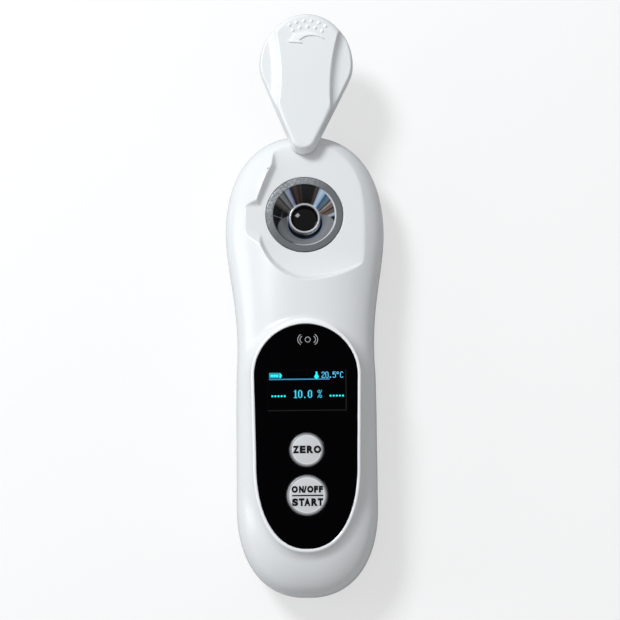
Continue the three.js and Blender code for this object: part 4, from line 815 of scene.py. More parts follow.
def rounded(start, end, corner, steps=5):
    """Points of a quarter round from one place to another, bulging towards a corner."""
    start, end, corner = map(np.array, (start, end, corner))
    angles = [math.pi / 2 * k / steps for k in range(steps + 1)]
    return [tuple(corner + (start - corner) * (1 - math.sin(a)) + (end - corner) * (1 - math.cos(a)))
            for a in angles]


def flat_shape(name, outlines, low, high, bevel, look):
    """Closed outlines filled as one plate, holes included, in millimetres."""
    curve = bpy.data.curves.new(name, "CURVE")
    curve.dimensions = "2D"
    curve.fill_mode = "BOTH"
    for outline in outlines:
        spline = curve.splines.new("POLY")
        spline.points.add(len(outline) - 1)
        for point, (x, y) in zip(spline.points, outline):
            point.co = (x * MM, y * MM, 0, 1)
        spline.use_cyclic_u = True
    curve.extrude = (high - low) / 2 * MM - bevel * MM
    curve.bevel_depth = bevel * MM
    curve.bevel_resolution = 3
    curve.offset = -bevel * MM
    return plain_mesh(name, curve, look, (low + high) / 2)


def plain_mesh(name, data, look, level=0.0):
    """A curve or text turned into a mesh and raised to a level in millimetres."""
    mesh = evaluated(linked(name + "_source", data))
    mesh.name = name
    mesh.transform(Matrix.Translation((0, 0, level * MM)))
    mesh.materials.clear()
    mesh.materials.append(look)
    faced_out(mesh, 1e-7)
    smoothed(mesh)
    return linked(name, mesh)


def lettering(name, words, width, height, centre, weight, depth, look):
    """A bold word as a thin print, fitted to its width and height, in millimetres."""
    text = bpy.data.curves.new(name, "FONT")
    text.body = words
    text.size = height * MM
    text.extrude = depth * MM
    text.offset = weight * MM
    text.resolution_u = 6
    made = plain_mesh(name, text, look)
    points = np.array([v.co for v in made.data.vertices])
    low, high = points.min(0), points.max(0)
    fit = Matrix.Diagonal((width * MM / (high[0] - low[0]), height * MM / (high[1] - low[1]), 1, 1))
    middle = Matrix.Translation((-(low[0] + high[0]) / 2, -(low[1] + high[1]) / 2, 0))
    made.data.transform(Matrix.Translation((centre[0] * MM, centre[1] * MM, 0)) @ fit @ middle)
    return made


def ruled(name, width, height, centre, depth, look, steps=24):
    """A thin printed rule cut into short lengths, so that it can follow a crown."""
    points, faces = [], []
    for k in range(steps + 1):
        x = centre[0] + width * (k / steps - 0.5)
        for side, level in ((-1, -1), (1, -1), (1, 1), (-1, 1)):
            points.append((x, centre[1] + side * height / 2, level * depth))
    for k in range(steps):
        for a in range(4):
            b = (a + 1) % 4
            faces.append((4 * k + a, 4 * k + 4 + a, 4 * k + 4 + b, 4 * k + b))
    faces += [(0, 1, 2, 3), (4 * steps + 3, 4 * steps + 2, 4 * steps + 1, 4 * steps)]
    return solid_object(name, points, faces, look, smooth=False)


def joined(name, pieces):
    """Several meshes made one."""
    builder = bmesh.new()
    for piece in pieces:
        builder.from_mesh(piece.data)
    look = pieces[0].data.materials[0]
    for piece in pieces:
        bpy.data.objects.remove(piece)
    mesh = bpy.data.meshes.new(name)
    builder.to_mesh(mesh)
    builder.free()
    mesh.materials.append(look)
    return linked(name, mesh)


def add_node(tree, kind, inputs=None, **settings):
    """A node with its settings and inputs; an input is a value or another node's output."""
    made = tree.nodes.new(kind)
    for key, value in settings.items():
        setattr(made, key, value)
    for key, value in (inputs or {}).items():
        socket = made.inputs[key]
        if isinstance(value, bpy.types.NodeSocket):
            tree.links.new(value, socket)
        else:
            socket.default_value = value
    return made


def grown(name, places, build, sizes, look):
    """Copies on points by a node tree with named inputs, made a plain mesh."""
    tree = bpy.data.node_groups.new(name + "_tree", "GeometryNodeTree")
    tree.interface.new_socket("Geometry", in_out="INPUT", socket_type="NodeSocketGeometry")
    tree.interface.new_socket("Geometry", in_out="OUTPUT", socket_type="NodeSocketGeometry")
    for label in sizes:
        tree.interface.new_socket(label, in_out="INPUT", socket_type="NodeSocketFloat")
    group_in = tree.nodes.new("NodeGroupInput")
    group_out = tree.nodes.new("NodeGroupOutput")
    dots = add_node(tree, "GeometryNodeMeshToPoints", {"Mesh": group_in.outputs["Geometry"]})
    shape = build(tree, group_in)
    copies = add_node(tree, "GeometryNodeInstanceOnPoints", {"Points": dots.outputs[0], "Instance": shape})
    solid = add_node(tree, "GeometryNodeRealizeInstances", {"Geometry": copies.outputs[0]})
    painted = add_node(tree, "GeometryNodeSetMaterial", {"Geometry": solid.outputs[0], "Material": look})
    tree.links.new(painted.outputs[0], group_out.inputs[0])
    holder = linked(name + "_places", raw_mesh(name + "_places", places, []))
    modifier = holder.modifiers.new("Copies", "NODES")
    modifier.node_group = tree
    labels = {item.name: item.identifier for item in tree.interface.items_tree if item.in_out == "INPUT"}
    for label, value in sizes.items():
        modifier[labels[label]] = value
    mesh = evaluated(holder)
    mesh.name = name
    return linked(name, mesh)


def scaled(color, share):
    """A colour made lighter or darker."""
    return tuple(min(1, v * share) for v in color)


class Finish:
    """One procedural material: a principled shader on Object coordinates."""

    def __init__(self, name, color, roughness, metallic=0.0, **sockets):
        self.material = bpy.data.materials.new(name)
        self.material.use_nodes = True
        self.material.diffuse_color = (*color, 1)
        self.tree = self.material.node_tree
        self.shader = self.tree.nodes["Principled BSDF"]
        self.shader.inputs["Base Color"].default_value = (*color, 1)
        self.shader.inputs["Roughness"].default_value = roughness
        self.shader.inputs["Metallic"].default_value = metallic
        for key, value in sockets.items():
            self.shader.inputs[key.replace("_", " ")].default_value = value
        self.place = self.add("ShaderNodeTexCoord").outputs["Object"]

    def add(self, kind, inputs=None, **settings):
        return add_node(self.tree, kind, inputs, **settings)

    def math(self, operation, *values):
        return self.add("ShaderNodeMath", dict(enumerate(values)), operation=operation).outputs[0]

    def split(self):
        """The three Object coordinates by name."""
        return self.add("ShaderNodeSeparateXYZ", {"Vector": self.place}).outputs

    def noise(self, scale, detail=3.0, roughness=0.5):
        inputs = {"Vector": self.place, "Scale": scale, "Detail": detail, "Roughness": roughness}
        return self.add("ShaderNodeTexNoise", inputs).outputs["Fac"]

    def ramped(self, value, low, high, start=0.0, end=1.0):
        """A value moved from one range to another."""
        inputs = {"Value": value, "From Min": start, "From Max": end, "To Min": low, "To Max": high}
        return self.add("ShaderNodeMapRange", inputs).outputs["Result"]

    def reach(self, x, y, centre, radii):
        """Distance from a centre in shares of two radii, both in millimetres."""
        plan = [self.math("DIVIDE", self.math("SUBTRACT", value, middle * MM), radius * MM)
                for value, middle, radius in zip((x, y), centre, radii)]
        place = self.add("ShaderNodeCombineXYZ", {"X": plan[0], "Y": plan[1]}).outputs[0]
        return self.add("ShaderNodeVectorMath", {0: place}, operation="LENGTH").outputs["Value"]

    def stops(self, value, table):
        """Colours along a value, from a table of places and colours."""
        made = self.add("ShaderNodeValToRGB", {"Fac": value})
        elements = made.color_ramp.elements
        for k, (position, tint) in enumerate(table):
            stop = elements[k] if k < 2 else elements.new(position)
            stop.position = position
            stop.color = (*tint, 1)
        return made.outputs["Color"]

    def blended(self, factor, first, second):
        """A colour between two, each a colour or another node's output."""
        made = self.add("ShaderNodeMix", {"Factor": factor}, data_type="RGBA")
        for socket, value in ((made.inputs[6], first), (made.inputs[7], second)):
            if isinstance(value, bpy.types.NodeSocket):
                self.tree.links.new(value, socket)
            else:
                socket.default_value = (*value, 1)
        return made.outputs[2]

    def drive(self, socket, value):
        self.tree.links.new(value, self.shader.inputs[socket])

    def tone(self, factor, first, second):
        self.drive("Base Color", self.blended(factor, first, second))

    def gloss(self, factor, low, high):
        self.drive("Roughness", self.ramped(factor, low, high))

    def bump(self, height, strength, distance):
        inputs = {"Height": height, "Strength": strength, "Distance": distance}
        self.drive("Normal", self.add("ShaderNodeBump", inputs).outputs["Normal"])


def moulded_plastic(name, color, gloss, lip=None):
    """Glossy moulded plastic: faint tone and gloss drift, fine satin grain, and a lip colour as painted
    highlight.
    """
    finish = Finish(name, color, gloss, Coat_Weight=0.18, Coat_Roughness=0.06)
    body = finish.blended(finish.noise(60, 2), scaled(color, 0.98), color)
    if lip:
        # Painted highlight: near its top the panel's lip is coloured whiter
        lip_highlight = finish.ramped(finish.split()["Z"], 0.0, 1.0, (LIP_TOP - 0.3) * MM, (LIP_TOP - 0.2) * MM)
        body = finish.blended(lip_highlight, body, lip)
    finish.drive("Base Color", body)
    finish.gloss(finish.noise(90, 2), gloss * 0.9, gloss * 1.1)
    finish.bump(finish.noise(2600, 2), 0.03, 0.00001)
    return finish.material


def panel_acrylic(name, color):
    """Polished black sheet with a little dust in its gloss."""
    finish = Finish(name, color, 0.06, Specular_IOR_Level=0.006)
    finish.gloss(finish.noise(900, 4, 0.7), 0.04, 0.11)
    finish.tone(finish.noise(90, 2), color, tuple(v + 0.0006 for v in color))
    return finish.material


def dark_plastic(name, color):
    finish = Finish(name, color, 0.5)
    finish.tone(finish.noise(300, 3), color, scaled(color, 1.5))
    finish.gloss(finish.noise(900, 3), 0.42, 0.6)
    finish.bump(finish.noise(2600, 3), 0.15, 0.00004)
    return finish.material


# Colours of a key from the middle outwards, in shares of the face's radius: painted highlight on the bead,
# painted shade on the shoulder
KEY_TONES_AND_PAINTED_LIGHT = ((0.0, 0.97), (0.9, 0.97), (0.93, 1.14), (0.965, 1.14), (0.99, 0.7), (1.05, 0.36), (1.11, 0.15),
             (1.16, 0.06))
KEY_PAINTED_LIGHT_END = 1.2


def satin_key(name, color, low, high):
    """Satin silver lacquer with a fine sparkle, a painted highlight on the bead and painted shade on the
    shoulder.
    """
    finish = Finish(name, color, 0.36, 0.1, Coat_Weight=0.2, Coat_Roughness=0.15)
    parts = finish.split()
    span = ((high[0] - low[0]) / 2 - KEY_FLANGE - KEY_SHOULDER) * KEY_PAINTED_LIGHT_END
    reach = finish.reach(parts["X"], parts["Y"], (0, (low[1] + high[1]) / 2), (span, span))
    # Painted highlight on the bead and painted shade down the shoulder, by distance from the key's middle
    tones_and_painted_light = finish.stops(reach, [(at / KEY_PAINTED_LIGHT_END, scaled(color, tone)) for at, tone in KEY_TONES_AND_PAINTED_LIGHT])
    sparkle = finish.noise(5200, 1)
    finish.tone(finish.ramped(sparkle, 0.0, 0.12), tones_and_painted_light, (0.3, 0.31, 0.32))
    finish.gloss(finish.noise(700, 2), 0.3, 0.4)
    finish.bump(sparkle, 0.04, 0.00001)
    return finish.material


def plain_steel(name, color, roughness):
    finish = Finish(name, color, roughness, 1.0)
    lathe = finish.noise(1400, 4, 0.65)
    finish.tone(lathe, scaled(color, 0.8), color)
    finish.gloss(lathe, roughness * 0.7, roughness * 1.4)
    finish.bump(lathe, 0.06, 0.00001)
    return finish.material


# Painted reflection: what the cone mirrors from east round by north to west, as shares of a whole turn and
# colours
PAINTED_REFLECTION_STOPS = [(2 * share, tint) for share, tint in (
    (0.000, (0.70, 0.82, 0.95)), (0.020, (0.10, 0.10, 0.11)), (0.032, (0.20, 0.12, 0.10)),
    (0.044, (0.02, 0.02, 0.02)), (0.052, (0.26, 0.17, 0.14)), (0.066, (0.20, 0.13, 0.11)),
    (0.072, (0.50, 0.48, 0.45)), (0.084, (0.04, 0.04, 0.05)), (0.094, (0.18, 0.24, 0.30)),
    (0.115, (0.13, 0.18, 0.24)), (0.122, (0.02, 0.05, 0.12)), (0.130, (0.30, 0.62, 0.95)),
    (0.150, (0.78, 0.90, 1.00)), (0.163, (0.50, 0.68, 0.88)), (0.170, (0.03, 0.03, 0.03)),
    (0.180, (0.16, 0.10, 0.09)), (0.194, (0.02, 0.02, 0.02)), (0.262, (0.02, 0.02, 0.02)),
    (0.270, (0.10, 0.06, 0.05)), (0.280, (0.03, 0.03, 0.03)), (0.303, (0.13, 0.08, 0.07)),
    (0.316, (0.05, 0.03, 0.03)), (0.326, (0.02, 0.02, 0.03)), (0.335, (0.38, 0.46, 0.78)),
    (0.352, (0.80, 0.87, 0.98)), (0.364, (0.05, 0.06, 0.08)), (0.374, (0.34, 0.36, 0.39)),
    (0.392, (0.42, 0.43, 0.45)), (0.400, (0.03, 0.03, 0.03)), (0.412, (0.24, 0.23, 0.21)),
    (0.436, (0.14, 0.13, 0.12)), (0.448, (0.015, 0.015, 0.015)),
)]
# Painted on the cone: a mirrored grey, the seat's shadow and a highlight along its edge
PAINTED_MIRROR_GREY = (0.25, 0.26, 0.275)
# Dark south half of the cone: a painted reflection
PAINTED_SOUTH_REFLECTION = (0.015, 0.015, 0.017)
SEAT_SHADOW_EDGE_HIGHLIGHT = (0.16, 0.24, 0.40)
SEAT_SHADOW = (0.008, 0.008, 0.01)
# The seat's brightness is a painted reflection
PAINTED_SEAT_REFLECTION = (0.50, 0.51, 0.53)
PAINTED_GLINT_WHITE = (0.85, 0.91, 0.97)
# Painted glints, as inner and outer radius, and the slope and start of the side that they are on
PAINTED_GLINTS = ((MOUTH - 0.4, MOUTH + 0.1, -0.55, 1), (BEZEL - 0.5, BEZEL + 0.35, -1.4, 8))


def turned_steel(name, color):
    """Polished turned steel: fans of mirrored streaks painted on the cone with a painted shadow and glints, a
    brushed ring, a seat painted bright.
    """
    finish = Finish(name, color, 0.2, 0.25, Specular_IOR_Level=0.25, Coat_Weight=0.1, Coat_Roughness=0.05)
    parts = finish.split()
    x, y = parts["X"], finish.math("SUBTRACT", parts["Y"], WELL_Y * MM)
    radius = finish.reach(x, y, (0, 0), (1 / MM, 1 / MM))
    mirrored = finish.reach(x, y, MIRROR_CENTRE, MIRROR_RADII)
    shadow = finish.reach(x, y, SEAT_SHADOW_CENTRE, SEAT_SHADOW_RADII)
    turn = finish.ramped(finish.math("ARCTAN2", y, x), 0.0, 1.0, 0.0, math.pi)
    north = finish.ramped(y, 0.0, 1.0, -0.5 * MM, 0.5 * MM)
    # Painted reflection on the cone: streaks by angle to the north, a dark south half
    tint = finish.blended(north, PAINTED_SOUTH_REFLECTION, finish.stops(turn, PAINTED_REFLECTION_STOPS))
    # Painted over the cone: the mirrored grey area, a highlight along the seat's shadow, and that shadow
    marks = ((mirrored, 0.985, 1.015, PAINTED_MIRROR_GREY), (shadow, 1.0, 1.02, SEAT_SHADOW_EDGE_HIGHLIGHT),
             (shadow, 0.95, 0.97, SEAT_SHADOW))
    for value, start, end, mark in marks:
        tint = finish.blended(finish.ramped(value, 1.0, 0.0, start, end), tint, mark)
    # Brushed specks on the ring, painted brighter on its lit side as a highlight
    specks = finish.ramped(finish.noise(1500, 4, 0.7), 0.0, 1.0, 0.35, 0.65)
    lit_side = finish.ramped(finish.math("SUBTRACT", y, x), 0.0, 1.0, 2 * MM, 17 * MM)
    ring = finish.blended(finish.math("MULTIPLY", specks, lit_side), color, scaled(color, 3.4))
    outside = finish.ramped(radius, 0.0, 1.0, (MOUTH - 0.05) * MM, (MOUTH + 0.05) * MM)
    # The seat is painted bright as a reflection
    seat = finish.ramped(radius, 1.0, 0.0, (BEZEL + 0.02) * MM, (BEZEL + 0.08) * MM)
    tint = finish.blended(seat, finish.blended(outside, tint, ring), PAINTED_SEAT_REFLECTION)
    # Two painted glints, on the mouth's rim and on the seat
    for inner, outer, slope, start in PAINTED_GLINTS:
        toward = finish.math("MULTIPLY_ADD", y, slope, x)
        glint = finish.ramped(toward, 0.0, 1.0, start * MM, (start + 3) * MM)
        for edge, low, high in ((inner, 0.0, 1.0), (outer, 1.0, 0.0)):
            band = finish.ramped(radius, low, high, (edge - 0.03) * MM, (edge + 0.03) * MM)
            glint = finish.math("MULTIPLY", glint, band)
        tint = finish.blended(glint, tint, PAINTED_GLINT_WHITE)
    finish.drive("Base Color", tint)
    finish.gloss(finish.noise(900, 3), 0.12, 0.22)
    finish.bump(finish.noise(2500, 2), 0.02, 0.00001)
    return finish.material


def dark_glass(name, color):
    finish = Finish(name, color, 0.03, Specular_IOR_Level=0.12)
    finish.gloss(finish.noise(600, 3), 0.015, 0.05)
    return finish.material


def clear_lens(name, color):
    finish = Finish(name, color, 0.04, Transmission_Weight=0.85)
    finish.gloss(finish.noise(500, 2), 0.02, 0.07)
    return finish.material


def soft_rubber(name, color):
    finish = Finish(name, color, 0.75)
    finish.tone(finish.noise(1500, 4), color, scaled(color, 1.6))
    finish.bump(finish.noise(2200, 4), 0.25, 0.00005)
    return finish.material


def board_resist(name, color):
    """Green solder resist with copper tracks showing through as lighter lines."""
    finish = Finish(name, color, 0.4)
    inputs = {"Vector": finish.place, "Scale": 260.0, "Mortar Size": 0.04}
    tracks = finish.add("ShaderNodeTexBrick", inputs).outputs["Fac"]
    finish.tone(tracks, color, scaled(color, 1.7))
    finish.bump(tracks, 0.3, 0.00004)
    return finish.material


def printed_sleeve(name, color):
    finish = Finish(name, color, 0.32, 0.2)
    inputs = {"Vector": finish.place, "Scale": 7.0}
    band = finish.add("ShaderNodeTexWave", inputs, bands_direction="Y").outputs["Fac"]
    finish.tone(band, color, scaled(color, 0.35))
    finish.gloss(finish.noise(800, 3), 0.25, 0.42)
    return finish.material


def printed_ink(name, color):
    finish = Finish(name, color, 0.4, Specular_IOR_Level=0.1)
    finish.gloss(finish.noise(1800, 2), 0.32, 0.48)
    return finish.material


def lit_pixels(name, color, share=1.0):
    """Lit display dots: a little brighter here and there, as such panels are."""
    strength = bpy.context.scene.refractometer_sizes.emission * share
    finish = Finish(name, scaled(color, 0.05), 0.3, Emission_Strength=strength)
    finish.drive("Emission Color", finish.blended(finish.noise(2400, 1), scaled(color, 0.86), color))
    return finish.material


LOOKS = {}


def colour_value(name, default, description):
    return FloatVectorProperty(name=name, description=description, subtype="COLOR", default=default,
                               min=0, max=1)


def length_value(name, default, low, high, description):
    """A length in millimetres, held in metres."""
    return FloatProperty(name=name, description=description, default=default * MM, min=low * MM,
                         max=high * MM, unit="LENGTH", precision=5)


def level_value(name, default, description):
    return FloatProperty(name=name, description=description, default=default, min=0)


class RefractometerColours(bpy.types.PropertyGroup):
    """Colours of the finishes."""

    shell: colour_value("Shell", (0.815, 0.83, 0.84), "White moulded plastic of the case")
    lid: colour_value("Lid", (0.84, 0.86, 0.87), "White moulded plastic of the lid")
    panel: colour_value("Panel", (0.0006, 0.0006, 0.001), "Black sheet over display and keys")
    keys: colour_value("Keys", (0.66, 0.67, 0.69), "Satin silver of the two keys")
    steel: colour_value("Dish", (0.137, 0.146, 0.155), "Turned steel of the sample dish")
    lit: colour_value("Display", (0.0, 0.94, 1.0), "Lit dots of the display")


class RefractometerSizes(bpy.types.PropertyGroup):
    """Sizes and counts that a user would change."""

    shell_cell: length_value("Shell mesh cell", 0.9, 0.4, 2, "Cell of the shells' meshes before splitting")
    lid_cell: length_value("Lid mesh cell", 0.55, 0.3, 2, "Cell of the lid's mesh before splitting")
    dot_radius: length_value("Grip dot radius", 1.0, 0.3, 1.5, "Radius of the lid's raised dots")
    turn_steps: IntProperty(name="Turned steps", description="Facets round turned pieces", default=192,
                            min=48, max=360)
    emission: level_value("Display strength", 1.25, "Strength of the lit dots")


class RefractometerStage(bpy.types.PropertyGroup):
    """Light levels of the stage."""

    key_power: level_value("Key lamp", 9.3, "Power of the lamp at the upper left")
    side_power: level_value("Side lamp", 2.3, "Power of the low lamp at the left")
    world: level_value("World", 0.385, "Strength of the surroundings on the object")


# Each finish: its recipe, its material's name, then what the recipe takes; a word is a user's colour
FINISHES = {
    # The shell's last colour is a painted highlight along the top of the panel's lip
    "shell": (moulded_plastic, "White shell plastic", "shell", 0.26, (0.93, 0.94, 0.95)),
    "lid": (moulded_plastic, "White lid plastic", "lid", 0.24),
    # The raised marks are a lighter copy of the lid's white plastic: a painted highlight on the grip dots and
    # the arrow
    "raised": (moulded_plastic, "White raised marks", (0.94, 0.95, 0.96), 0.3),
    "panel": (panel_acrylic, "Black panel sheet", "panel"),
    "zero": (satin_key, "Zero key lacquer", "keys", ZERO_LOW, ZERO_HIGH),
    "start": (satin_key, "Start key lacquer", "keys", START_LOW, START_HIGH),
    "dish": (turned_steel, "Polished dish steel", "steel"),
    "steel": (plain_steel, "Plain screw steel", (0.5, 0.51, 0.53), 0.3),
    "nickel": (plain_steel, "Nickel contact", (0.66, 0.65, 0.61), 0.22),
    "prism": (dark_glass, "Dark prism glass", (0.0006, 0.0006, 0.001)),
    "lens": (clear_lens, "Clear lens", (0.85, 0.9, 0.93)),
    "rubber": (soft_rubber, "Seal rubber", (0.03, 0.03, 0.033)),
    "dark": (dark_plastic, "Black inner plastic", (0.03, 0.03, 0.035)),
    "board": (board_resist, "Board resist", (0.03, 0.16, 0.08)),
    "glass": (dark_glass, "Display glass", (0.006, 0.008, 0.012)),
    "film": (dark_plastic, "Ribbon film", (0.42, 0.2, 0.05)),
    "sleeve": (printed_sleeve, "Cell sleeve", (0.12, 0.24, 0.46)),
    "ink": (printed_ink, "Key print", (0.002, 0.002, 0.0025)),
    "mark": (printed_ink, "Panel print", (0.5, 0.51, 0.52)),
    "window": (printed_ink, "Window rim", (0.002, 0.002, 0.0022)),
    "lit": (lit_pixels, "Lit display dots", "lit"),
    "word": (lit_pixels, "Reading dots", (0.04, 0.66, 0.92)),
    "pale": (lit_pixels, "Small reading dots", (0.10, 0.62, 1.0), 1.25),
    "line": (lit_pixels, "Line dots", (0.02, 0.24, 0.46)),
    "dim": (lit_pixels, "Dim display dots", (0.0, 0.28, 0.37)),
}


def finish_of(name):
    """The material for a finish, made the first time that it is asked for."""
    if name not in LOOKS:
        recipe, title, color, *rest = FINISHES[name]
        if isinstance(color, str):
            color = tuple(getattr(bpy.context.scene.refractometer_colours, color))
        LOOKS[name] = recipe(title, color, *rest)
    return LOOKS[name]


INNER_FINISHES = {
    "rubber": ("parting_seal", "dish_gasket", "prism_seal", "lid_light_seal"),
    "dark": ("panel_adhesive", "display_frame", "processor", "zero_switch", "start_switch", "zero_plunger",
             "start_plunger", "optics_block", "line_sensor", "pivot_bush"),
    "board": ("main_board", "lamp_board", "sensor_board"),
    "glass": ("display_module",),
    "film": ("display_ribbon",),
    "lens": ("light_source", "collimator_lens"),
    "lid": ("lid_liner",),
    "sleeve": ("battery_1", "battery_2"),
    "nickel": ("temperature_probe", "battery_spring_1", "battery_spring_2", "link_contact",
               "positive_contact", "negative_contact"),
    "steel": ("board_screw_1", "board_screw_2", "board_screw_3", "board_screw_4", "optics_screw_1",
              "optics_screw_2", "wave_washer", "pivot_washer", "pivot_screw"),
}

# Painted marks on the polished cone: the grey it mirrors and the seat's shadow, as centres and radii on its
# plan

class REFRACTOMETER_OT_stage(bpy.types.Operator):
    """Sets the camera, the lamps, the surroundings and the floor"""

    bl_idname = "refractometer.stage"
    bl_label = "Stage"

    def execute(self, context):
        self.set_camera(context.scene)
        self.set_world(context.scene)
        self.set_lamps(context.scene)
        self.set_floor()
        context.scene.view_settings.view_transform = "Standard"
        return {"FINISHED"}

    def set_camera(self, scene):
        back = Vector((0, -math.sin(CAMERA_TILT), math.cos(CAMERA_TILT)))
        up = Vector((0, math.cos(CAMERA_TILT), math.sin(CAMERA_TILT)))
        right = up.cross(back)
        turned_right = right * math.cos(CAMERA_ROLL) - up * math.sin(CAMERA_ROLL)
        turned_up = back.cross(turned_right)
        data = bpy.data.cameras.new("Camera")
        data.lens = CAMERA_LENS
        data.sensor_width = CAMERA_SENSOR
        data.clip_end = 10
        place = Matrix((turned_right, turned_up, back)).transposed().to_4x4()
        place.translation = CAMERA_TARGET + back * CAMERA_DISTANCE
        scene.camera = linked("Camera", data)
        scene.camera.matrix_world = place

    def set_world(self, scene):
        world = bpy.data.worlds.new("Surroundings")
        world.use_nodes = True
        scene.world = world
        tree = world.node_tree
        paths = tree.nodes.new("ShaderNodeLightPath").outputs
        seen = paths["Is Camera Ray"]
        for kind in ("Is Glossy Ray", "Is Transmission Ray"):
            seen = add_node(tree, "ShaderNodeMath", {0: seen, 1: paths[kind]}, operation="MAXIMUM").outputs[0]
        inputs = {"Value": seen, "To Min": scene.refractometer_stage.world, "To Max": 1.0}
        level = add_node(tree, "ShaderNodeMapRange", inputs)
        background = tree.nodes["Background"]
        background.inputs["Color"].default_value = (0.985, 0.99, 1.0, 1)
        tree.links.new(level.outputs["Result"], background.inputs["Strength"])

    def set_lamps(self, scene):
        stage = scene.refractometer_stage
        for name, place, size, power in (
            ("Key lamp", (-0.55, 0.6, 0.92), 0.3, stage.key_power),
            ("Side lamp", (-1.0, 0.1, 0.3), 0.6, stage.side_power),
        ):
            data = bpy.data.lights.new(name, "AREA")
            data.energy = power
            data.size = size
            data.color = (0.95, 0.98, 1.0)
            lamp = linked(name, data)
            lamp.location = place
            lamp.rotation_euler = (LAMP_TARGET - Vector(place)).to_track_quat("-Z", "Y").to_euler()

    def set_floor(self):
        """A pale floor that glows a little towards the camera, so that it meets the white beyond it."""
        mesh = bpy.data.meshes.new("floor")
        half = FLOOR_HALF
        mesh.from_pydata([(-half, -half, 0), (half, -half, 0), (half, half, 0), (-half, half, 0)], [],
                         [(0, 1, 2, 3)])
        material = bpy.data.materials.new("Pale floor")
        material.use_nodes = True
        tree = material.node_tree
        tree.nodes.remove(tree.nodes["Principled BSDF"])
        seen = tree.nodes.new("ShaderNodeLightPath").outputs["Is Camera Ray"]
        level = add_node(tree, "ShaderNodeMapRange", {"Value": seen, "To Min": 0.55}).outputs["Result"]
        tone = add_node(tree, "ShaderNodeCombineColor", {"Red": level, "Green": level, "Blue": level})
        matt = add_node(tree, "ShaderNodeBsdfDiffuse", {"Color": tone.outputs[0]})
        glow = add_node(tree, "ShaderNodeEmission", {"Color": (1, 1, 1, 1), "Strength": 1.0})
        share = add_node(tree, "ShaderNodeMapRange", {"Value": seen, "To Min": 0.0, "To Max": FLOOR_GLOW})
        both = add_node(tree, "ShaderNodeMixShader",
                        {0: share.outputs["Result"], 1: matt.outputs[0], 2: glow.outputs[0]})
        tree.links.new(both.outputs[0], tree.nodes["Material Output"].inputs["Surface"])
        mesh.materials.append(material)
        linked("floor", mesh)


# Depths under the skin that still count as shown
FRONT_SHOWN = 0.25
SEAM_SHOWN = 0.2
REAR_SHOWN = 1.6
LID_SHOWN = 0.25

# Rounds of splitting, as the turn in degrees that is split and the shortest edge in millimetres
FRONT_SPLITS = ((10, 0.26), (10, 0.2), (12, 0.16))
REAR_SPLITS = ((8, 0.3), (8, 0.22), (10, 0.16))
LID_SPLITS = ((8, 0.15), (8, 0.12), (8, 0.1))


class REFRACTOMETER_OT_front_shell(bpy.types.Operator):
    """Moulds the front shell with its raised surround and the lid's recess"""

    bl_idname = "refractometer.front_shell"
    bl_label = "Front shell"

    def execute(self, context):
        sizes = context.scene.refractometer_sizes

        def shown(points):
            return front_skin(points)[0] > -FRONT_SHOWN - SEAM_SHOWN * (points[:, 2] < PARTING + 1)

        shell = moulded("front_shell", front_field, shown, COVER_LOW, COVER_HIGH, sizes.shell_cell / MM,
                        FRONT_SPLITS, finish_of("shell"))
        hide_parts("front_cover")
        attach(shell, "housing")
        return {"FINISHED"}


class REFRACTOMETER_OT_rear_shell(bpy.types.Operator):
    """Moulds the rear shell and the battery door"""

    bl_idname = "refractometer.rear_shell"
    bl_label = "Rear shell and door"

    def execute(self, context):
        sizes = context.scene.refractometer_sizes
        cell = sizes.shell_cell / MM * 1.2

        def shown(points):
            return back_distance(*points.T)[0] > -REAR_SHOWN

        low, high = corners("rear_cover")
        shell = moulded("rear_shell", rear_field, shown, low, high, cell, REAR_SPLITS, finish_of("shell"))
        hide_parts("rear_cover")
        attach(shell, "housing")
        door = moulded("door_shell", door_field, shown, DOOR_LOW, DOOR_HIGH, cell * 0.8, REAR_SPLITS,
                       finish_of("shell"))
        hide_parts("battery_door")
        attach(door, "battery_hatch")
        return {"FINISHED"}


